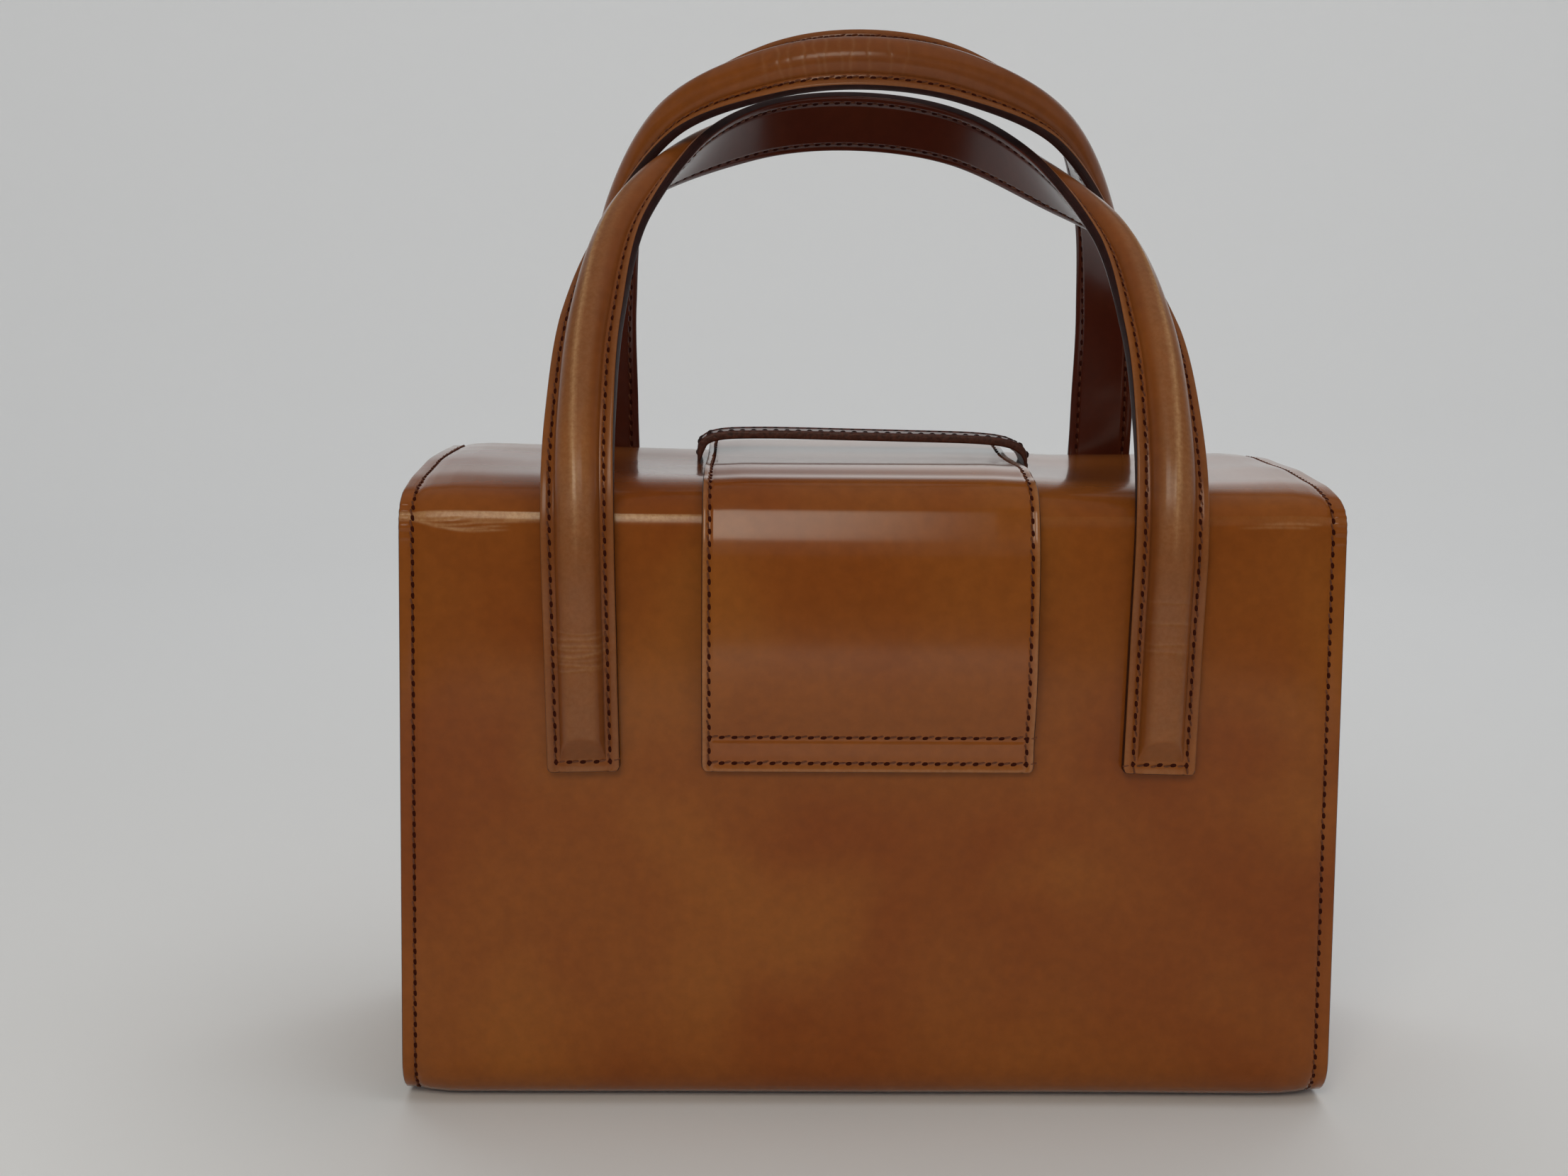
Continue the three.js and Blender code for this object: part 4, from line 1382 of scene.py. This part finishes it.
def strap_wear_and_sheen(path, sides, distance, rubbed):
    """Where a strap is rubbed pale: margins, ridge of the legs, bent limbs and wrinkles. On the ridge, the
    limbs and the crest the paleness is partly a painted sheen.
    """
    margin = STRAP_MARGIN_WEAR * (1 - smoothstep(MARGIN_RUBBED_FROM, STRAP_SEAM_IN, distance))
    on_leg = 1 - smoothstep(*LEG_RUBBED_TO, path.at[:, 2:])
    on_top = smoothstep(*RIDGE_RUBBED, np.abs(sides))
    section, slope = ridge_shape(path, sides)
    past_end = smoothstep(*RIDGE_END_RUBBED, slope - section)
    ridge = RIDGE_WEAR_AND_SHEEN * on_leg * on_top * (RIDGE_END_SHARE + (1 - RIDGE_END_SHARE) * past_end)
    limb, crest = limb_crest(path, sides)
    # Paler bent limbs and a pale streak on the crest: partly rubbing, partly painted sheen and highlight
    handled = rubbed * (LIMB_WEAR_AND_SHEEN * limb * on_top + CREST_WEAR_AND_HIGHLIGHT * crest)
    return margin + ridge + handled + WRINKLE_WEAR * leg_wrinkles(path, sides)


class BAG_OT_handles(bpy.types.Operator):
    """Make both handles: a padded strap and the flat lining sewn under it"""

    bl_idname = "bag.handles"
    bl_label = "Handles"

    def execute(self, context):
        sizes = context.scene.bag_sizes
        for name, rows, face, sway, shoulder, rubbed in HANDLES:
            path = handle_path(rows, face, sway, shoulder)
            sides = strap_marks() * path.half_width(STRAP_HALF_WIDTH, STRAP_CORNER) / STRAP_HALF_WIDTH
            top, bottom, distance = cover_heights(path, sides, sizes)
            wear = strap_wear_and_sheen(path, sides, distance, rubbed)
            finishes = ("handled_calf_leather", "painted_edge", "suede_inside")
            cover = closed_sheet(
                f"handle_{name}_strap", path, sides, top, bottom, distance, context, wear, finishes)
            seat(cover, "glazed_leather", f"handle_{name}_cover")
            top, bottom, distance = lining_heights(path, sides, sizes)
            finishes = ("painted_edge", "painted_edge", "dark_calf_leather")
            lining = closed_sheet(
                f"handle_{name}_underside", path, sides, top, bottom, distance, context, finishes=finishes)
            seat(lining, "dark_leather", f"handle_{name}_lining")
        return {"FINISHED"}


def seam_tree():
    """Node tree that sews a line: arched threads between needle holes, at a set pitch."""
    tree = bpy.data.node_groups.new("Sewn seam", "GeometryNodeTree")
    face = tree.interface
    face.new_socket("Geometry", in_out="INPUT", socket_type="NodeSocketGeometry")
    for name in ("Pitch", "Thread width", "Thread arch", "Hole length", "Hole width"):
        face.new_socket(name, in_out="INPUT", socket_type="NodeSocketFloat")
    face.new_socket("Thread", in_out="INPUT", socket_type="NodeSocketMaterial")
    face.new_socket("Hole", in_out="INPUT", socket_type="NodeSocketMaterial")
    face.new_socket("Seed", in_out="INPUT", socket_type="NodeSocketInt")
    face.new_socket("Geometry", in_out="OUTPUT", socket_type="NodeSocketGeometry")
    given = add_node(tree, "NodeGroupInput").outputs
    curve = add_node(tree, "GeometryNodeMeshToCurve", {"Mesh": given["Geometry"]})
    even = add_node(tree, "GeometryNodeResampleCurve", {
        "Curve": curve.outputs[0], "Length": given["Pitch"]}, mode="LENGTH")
    up = add_node(tree, "GeometryNodeInputNamedAttribute", {"Name": "up"}, data_type="FLOAT_VECTOR")
    tangent = add_node(tree, "GeometryNodeInputTangent")
    turn = add_node(tree, "FunctionNodeAxesToRotation", {
        0: up.outputs[0], 1: tangent.outputs[0]}, primary_axis="Z", secondary_axis="X")
    least, most = ((0.0, 0.0, slant) for slant in THREAD_SLANT)
    wander = add_node(tree, "FunctionNodeRandomValue", {
        0: least, 1: most, "Seed": given["Seed"]}, data_type="FLOAT_VECTOR")
    slant = add_node(tree, "FunctionNodeEulerToRotation", {0: wander.outputs[0]})
    slanted = add_node(tree, "FunctionNodeRotateRotation", {
        0: turn.outputs[0], 1: slant.outputs[0]}, rotation_space="LOCAL")

    def spot(x_share, z):
        x = add_node(tree, "ShaderNodeMath", {0: given["Pitch"], 1: x_share}, operation="MULTIPLY")
        return add_node(tree, "ShaderNodeCombineXYZ", {0: x.outputs[0], 2: z}).outputs[0]

    below = add_node(tree, "ShaderNodeMath", {
        0: given["Thread width"], 1: THREAD_DIP}, operation="MULTIPLY")
    dip = below.outputs[0]
    first, middle, last = THREAD_SPAN
    bow = add_node(tree, "GeometryNodeCurveQuadraticBezier", {
        "Resolution": 5, "Start": spot(first, dip),
        "Middle": spot(middle, given["Thread arch"]), "End": spot(last, dip)})
    girth = add_node(tree, "ShaderNodeMath", {0: given["Thread width"], 1: 0.5}, operation="MULTIPLY")
    round_line = add_node(tree, "GeometryNodeCurvePrimitiveCircle", {
        "Resolution": 6, "Radius": girth.outputs[0]}, mode="RADIUS")
    thread = add_node(tree, "GeometryNodeCurveToMesh", {
        "Curve": bow.outputs[0], "Profile Curve": round_line.outputs[0], "Fill Caps": True})
    # Each needle hole is a flat dark dot laid on the leather: painted shade of the hole
    dot = add_node(tree, "GeometryNodeMeshUVSphere", {"Segments": 8, "Rings": 4, "Radius": 0.5})
    flat = add_node(tree, "ShaderNodeCombineXYZ", {
        0: given["Hole length"], 1: given["Hole width"], 2: HOLE_DEPTH * MM})
    hole = add_node(tree, "GeometryNodeTransform", {"Geometry": dot.outputs[0], "Scale": flat.outputs[0]})
    ends = []
    for shape, finish in ((thread, "Thread"), (hole, "Hole")):
        spread = add_node(tree, "GeometryNodeInstanceOnPoints", {
            "Points": even.outputs[0], "Instance": shape.outputs[0], "Rotation": slanted.outputs[0]})
        real = add_node(tree, "GeometryNodeRealizeInstances", {0: spread.outputs[0]})
        smooth = add_node(tree, "GeometryNodeSetShadeSmooth", {0: real.outputs[0]})
        ends.append(add_node(tree, "GeometryNodeSetMaterial", {
            "Geometry": smooth.outputs[0], "Material": given[finish]}))
    joined = add_node(tree, "GeometryNodeJoinGeometry")
    for end in ends:
        tree.links.new(end.outputs[0], joined.inputs[0])
    add_node(tree, "NodeGroupOutput", {"Geometry": joined.outputs[0]})
    return tree


def sew(name, lines, pitch, context, finish="waxed_thread", girth=1.0):
    """Sews the given lines of points and outward directions, and leaves a plain mesh."""
    sizes = context.scene.bag_sizes
    points = np.concatenate([spots for spots, _ in lines])
    ups = np.concatenate([way for _, way in lines])
    edges = []
    first = 0
    for spots, _ in lines:
        edges += [(first + k, first + k + 1) for k in range(len(spots) - 1)]
        first += len(spots)
    guide = bpy.data.meshes.new(name + "_line")
    guide.from_pydata(points * MM, edges, [])
    guide.attributes.new("up", "FLOAT_VECTOR", "POINT").data.foreach_set("vector", ups.reshape(-1))
    obj = bpy.data.objects.new(name, guide)
    context.scene.collection.objects.link(obj)
    tree = bpy.data.node_groups.get("Sewn seam") or seam_tree()
    modifier = obj.modifiers.new("seam", "NODES")
    modifier.node_group = tree
    values = {
        "Pitch": pitch,
        "Thread width": sizes.thread_width * girth,
        "Thread arch": sizes.thread_width * girth * THREAD_ARCH,
        "Hole length": sizes.hole_length,
        "Hole width": sizes.hole_length * HOLE_WIDTH_SHARE,
        "Thread": finish_of(context, finish),
        "Hole": finish_of(context, "needle_hole"),
        "Seed": SEAM_SEED,
    }
    for item in tree.interface.items_tree:
        if item.in_out == "INPUT" and item.name in values:
            modifier[item.identifier] = values[item.name]
    sewn = bpy.data.meshes.new_from_object(obj.evaluated_get(context.evaluated_depsgraph_get()))
    obj.modifiers.remove(modifier)
    obj.data = sewn
    bpy.data.meshes.remove(guide)
    seat(obj, "dark_leather")


def seams_along(path, heights, side, low, high, under=False):
    """Lines of a piece's left and right seams, between two distances from its start."""
    sewn = (path.run >= low) & (path.run <= high)
    part = path.cut(sewn)
    lines = []
    for sign in (-1, 1):
        sides = np.broadcast_to(sign * side, (len(path.run), 1))[sewn]
        top, bottom = heights(part, sides)[:2]
        if under:
            lines.append((part.place(sides, bottom - SEAM_LIFT)[:, 0], -part.out))
        else:
            lines.append((part.place(sides, top + SEAM_LIFT)[:, 0], part.out))
    return lines


def seam_across(path, heights, run, half):
    """Line of a seam across a piece at a distance from its start."""
    k = int(np.argmin(np.abs(path.run - run)))
    part = path.cut(slice(k, k + 1))
    sides = np.linspace(-half, half, SEAM_MARKS)[None, :]
    top = heights(part, sides)[0]
    spots = part.place(sides, top + SEAM_LIFT)[0]
    return spots, np.repeat(part.out, len(spots), axis=0)


class BAG_OT_seams(bpy.types.Operator):
    """Sew all the seams that show"""

    bl_idname = "bag.seams"
    bl_label = "Seams"

    def execute(self, context):
        sizes = context.scene.bag_sizes
        path, crease = body_path(sizes.crease_softness / MM)
        side = half_width_at(path.at[:, 2:]) - BODY_SEAM_IN

        def on_body(part, x):
            return body_heights(part, crease, x, sizes)

        lines = seams_along(path, on_body, side, BODY_SEAM_END, path.length - BODY_SEAM_END)
        sew("seams_body", lines, sizes.edge_pitch, context)

        path = tab_path()
        half = TAB_HALF_WIDTH - TAB_SEAM_IN

        def on_tab(part, x):
            return tab_heights(part, x, sizes)

        rows = [*TAB_ROWS, path.length - TAB_ROWS[0]]
        lines = seams_along(path, on_tab, half, rows[0], rows[-1])
        lines += [seam_across(path, on_tab, row, half) for row in rows]
        sew("seams_tab", lines, sizes.seam_pitch, context)

        path = keeper_path()

        def on_keeper(part, y):
            return keeper_heights(part, y, sizes)

        half = KEEPER_HALF_WIDTH - KEEPER_SEAM_IN
        lines = seams_along(path, on_keeper, half, KEEPER_SEAM_END, path.length - KEEPER_SEAM_END)
        sew("seams_loop", lines, sizes.seam_pitch, context, "dark_thread", KEEPER_THREAD)

        def on_strap(part, across):
            return cover_heights(part, across, sizes)

        def on_lining(part, across):
            return lining_heights(part, across, sizes)

        half = STRAP_HALF_WIDTH - STRAP_SEAM_IN
        for name, rows, face, sway, shoulder, _ in HANDLES:
            path = handle_path(rows, face, sway, shoulder)
            ends = (STRAP_ROW, path.length - STRAP_ROW)
            free = CREASE_Z - rows[0][2] + LINING_SEAM_ABOVE_CREASE
            lines = seams_along(path, on_strap, half, *ends)
            lines += [seam_across(path, on_strap, run, half) for run in ends]
            lines += seams_along(path, on_lining, half, free, path.length - free, under=True)
            sew(f"seams_handle_{name}", lines, sizes.seam_pitch, context)
        return {"FINISHED"}


def camera_matrix():
    """Place and turn of the camera, which looks along its own negative third axis."""
    up = np.array([0.0, 0.0, 1.0])
    right = np.array([math.cos(CAMERA_YAW), -math.sin(CAMERA_YAW), 0.0])
    level = np.array([math.sin(CAMERA_YAW), math.cos(CAMERA_YAW), 0.0])
    forward = level * math.cos(CAMERA_PITCH) - up * math.sin(CAMERA_PITCH)
    down = -(up * math.cos(CAMERA_PITCH) + level * math.sin(CAMERA_PITCH))
    rolled_right = right * math.cos(CAMERA_ROLL) + down * math.sin(CAMERA_ROLL)
    rolled_down = -right * math.sin(CAMERA_ROLL) + down * math.cos(CAMERA_ROLL)
    columns = np.stack([rolled_right, -rolled_down, -forward], axis=1)
    turned = Matrix(columns.tolist()).to_4x4()
    return Matrix.Translation(Vector(CAMERA_AT) * MM) @ turned


def studio_bowl(context):
    """Pale paper floor that curves up all round into a wall."""
    bends = np.radians(np.arange(10, 91, 10))
    radii = np.concatenate([FLOOR_RADII, FLOOR_RADII[-1] + BEND_RADIUS * np.sin(bends)])
    heights = np.concatenate([np.zeros(len(FLOOR_RADII)), BEND_RADIUS * (1 - np.cos(bends))])
    radii = np.append(radii, FLOOR_RADII[-1] + BEND_RADIUS)[:, None]
    heights = np.append(heights, WALL_HEIGHT)[:, None]
    turns = np.linspace(0, 2 * math.pi, BOWL_TURNS, endpoint=False)
    rings = np.stack([radii * np.cos(turns), radii * np.sin(turns), heights + 0 * turns], axis=-1)
    mesh = turned_mesh("floor", rings, closed=False)
    return add_object("floor", mesh, ("matt_paper",), context)


def dark_flag(context):
    """Dark cloth screen round the front of the table, which only reflections see."""
    turns = np.linspace(math.pi, 2 * math.pi, FLAG_TURNS + 1)
    rim = np.stack([FLAG_RADIUS * np.cos(turns), FLAG_RADIUS * np.sin(turns)], axis=1)
    low = np.concatenate([rim, np.zeros((len(rim), 1))], axis=1)
    high = low + np.array([0.0, 0.0, FLAG_HEIGHT])
    count = len(rim)
    faces = [(k, k + 1, count + k + 1, count + k) for k in range(count - 1)]
    mesh = bpy.data.meshes.new("flag")
    mesh.from_pydata(np.concatenate([low, high]), [], faces)
    flag = add_object("flag", mesh, ("black_felt",), context)
    flag.visible_camera = False
    flag.visible_diffuse = False
    flag.visible_shadow = False
    return flag


def soft_edges(light, fades):
    """Lets a lamp fade towards the ends of its width and depth, as cloth over a softbox does."""
    light.use_nodes = True
    tree = light.node_tree
    tree.nodes.clear()
    place = add_node(tree, "ShaderNodeNewGeometry").outputs["Parametric"]
    axes = add_node(tree, "ShaderNodeSeparateXYZ", {0: place}).outputs
    strength = 1.0
    for axis, fade in zip(axes, fades):
        from_middle = add_node(tree, "ShaderNodeMath", {0: axis, 1: 0.5}, operation="SUBTRACT")
        off_centre = add_node(tree, "ShaderNodeMath", {0: from_middle.outputs[0]}, operation="ABSOLUTE")
        share = add_node(tree, "ShaderNodeMapRange", {
            "Value": off_centre.outputs[0], "From Min": 0.5, "From Max": 0.5 - fade},
            interpolation_type="SMOOTHSTEP")
        strength = add_node(tree, "ShaderNodeMath", {
            0: share.outputs[0], 1: strength}, operation="MULTIPLY").outputs[0]
    glow = add_node(tree, "ShaderNodeEmission", {"Strength": strength})
    add_node(tree, "ShaderNodeOutputLight", {0: glow.outputs[0]})


class BAG_OT_stage(bpy.types.Operator):
    """Set up the camera, the pale floor and the soft lights"""

    bl_idname = "bag.stage"
    bl_label = "Stage"

    def execute(self, context):
        scene = context.scene
        lens = bpy.data.cameras.new("camera")
        lens.sensor_fit = "HORIZONTAL"
        lens.sensor_width = SENSOR_WIDTH
        lens.lens = SENSOR_WIDTH * FOCAL_PIXELS / IMAGE_WIDTH
        lens.shift_x = (IMAGE_WIDTH / 2 - CENTRE_X_PIXELS) / IMAGE_WIDTH
        lens.clip_start = NEAREST_SEEN
        camera = bpy.data.objects.new("camera", lens)
        camera.matrix_world = camera_matrix()
        scene.collection.objects.link(camera)
        scene.camera = camera
        studio_bowl(context)
        dark_flag(context)
        for name, place, aim, width, depth, power, colour, fades in LIGHTS:
            light = bpy.data.lights.new(name, "AREA")
            light.shape = "RECTANGLE"
            light.size = width
            light.size_y = depth
            light.energy = power
            light.color = colour
            if fades:
                soft_edges(light, fades)
            lamp = bpy.data.objects.new(name, light)
            lamp.location = place
            lamp.rotation_euler = (Vector(aim) - Vector(place)).to_track_quat("-Z", "Y").to_euler()
            lamp.visible_camera = False
            lamp.visible_glossy = fades is not None
            scene.collection.objects.link(lamp)
        world = bpy.data.worlds.new("soft_room")
        world.use_nodes = True
        world.node_tree.nodes.clear()
        glow = add_node(world.node_tree, "ShaderNodeBackground", {0: ROOM_COLOUR, 1: ROOM_STRENGTH})
        add_node(world.node_tree, "ShaderNodeOutputWorld", {0: glow.outputs[0]})
        scene.world = world
        scene.view_settings.view_transform = "Standard"
        return {"FINISHED"}


STEPS = ("stage", "body", "gussets", "tab", "keeper", "handles", "seams")


class BAG_PT_panel(bpy.types.Panel):
    """Lists the bag's pieces, sizes and colours"""

    bl_idname = "BAG_PT_panel"
    bl_label = "Leather Handbag"
    bl_space_type = "VIEW_3D"
    bl_region_type = "UI"
    bl_category = "Handbag"

    def draw(self, context):
        for step in STEPS:
            self.layout.operator("bag." + step)
        for group in (context.scene.bag_sizes, context.scene.bag_colours):
            box = self.layout.box()
            for key in group.__annotations__:
                box.prop(group, key)


CLASSES = (
    BagSizes, BagColours, BAG_OT_stage, BAG_OT_body, BAG_OT_gussets, BAG_OT_tab, BAG_OT_keeper,
    BAG_OT_handles, BAG_OT_seams, BAG_PT_panel,
)


def register():
    for cls in CLASSES:
        bpy.utils.register_class(cls)
    bpy.types.Scene.bag_sizes = bpy.props.PointerProperty(type=BagSizes)
    bpy.types.Scene.bag_colours = bpy.props.PointerProperty(type=BagColours)


def unregister():
    del bpy.types.Scene.bag_colours
    del bpy.types.Scene.bag_sizes
    for cls in reversed(CLASSES):
        bpy.utils.unregister_class(cls)


def main():
    register()
    for step in STEPS:
        getattr(bpy.ops.bag, step)()
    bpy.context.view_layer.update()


if __name__ == "__main__":
    main()
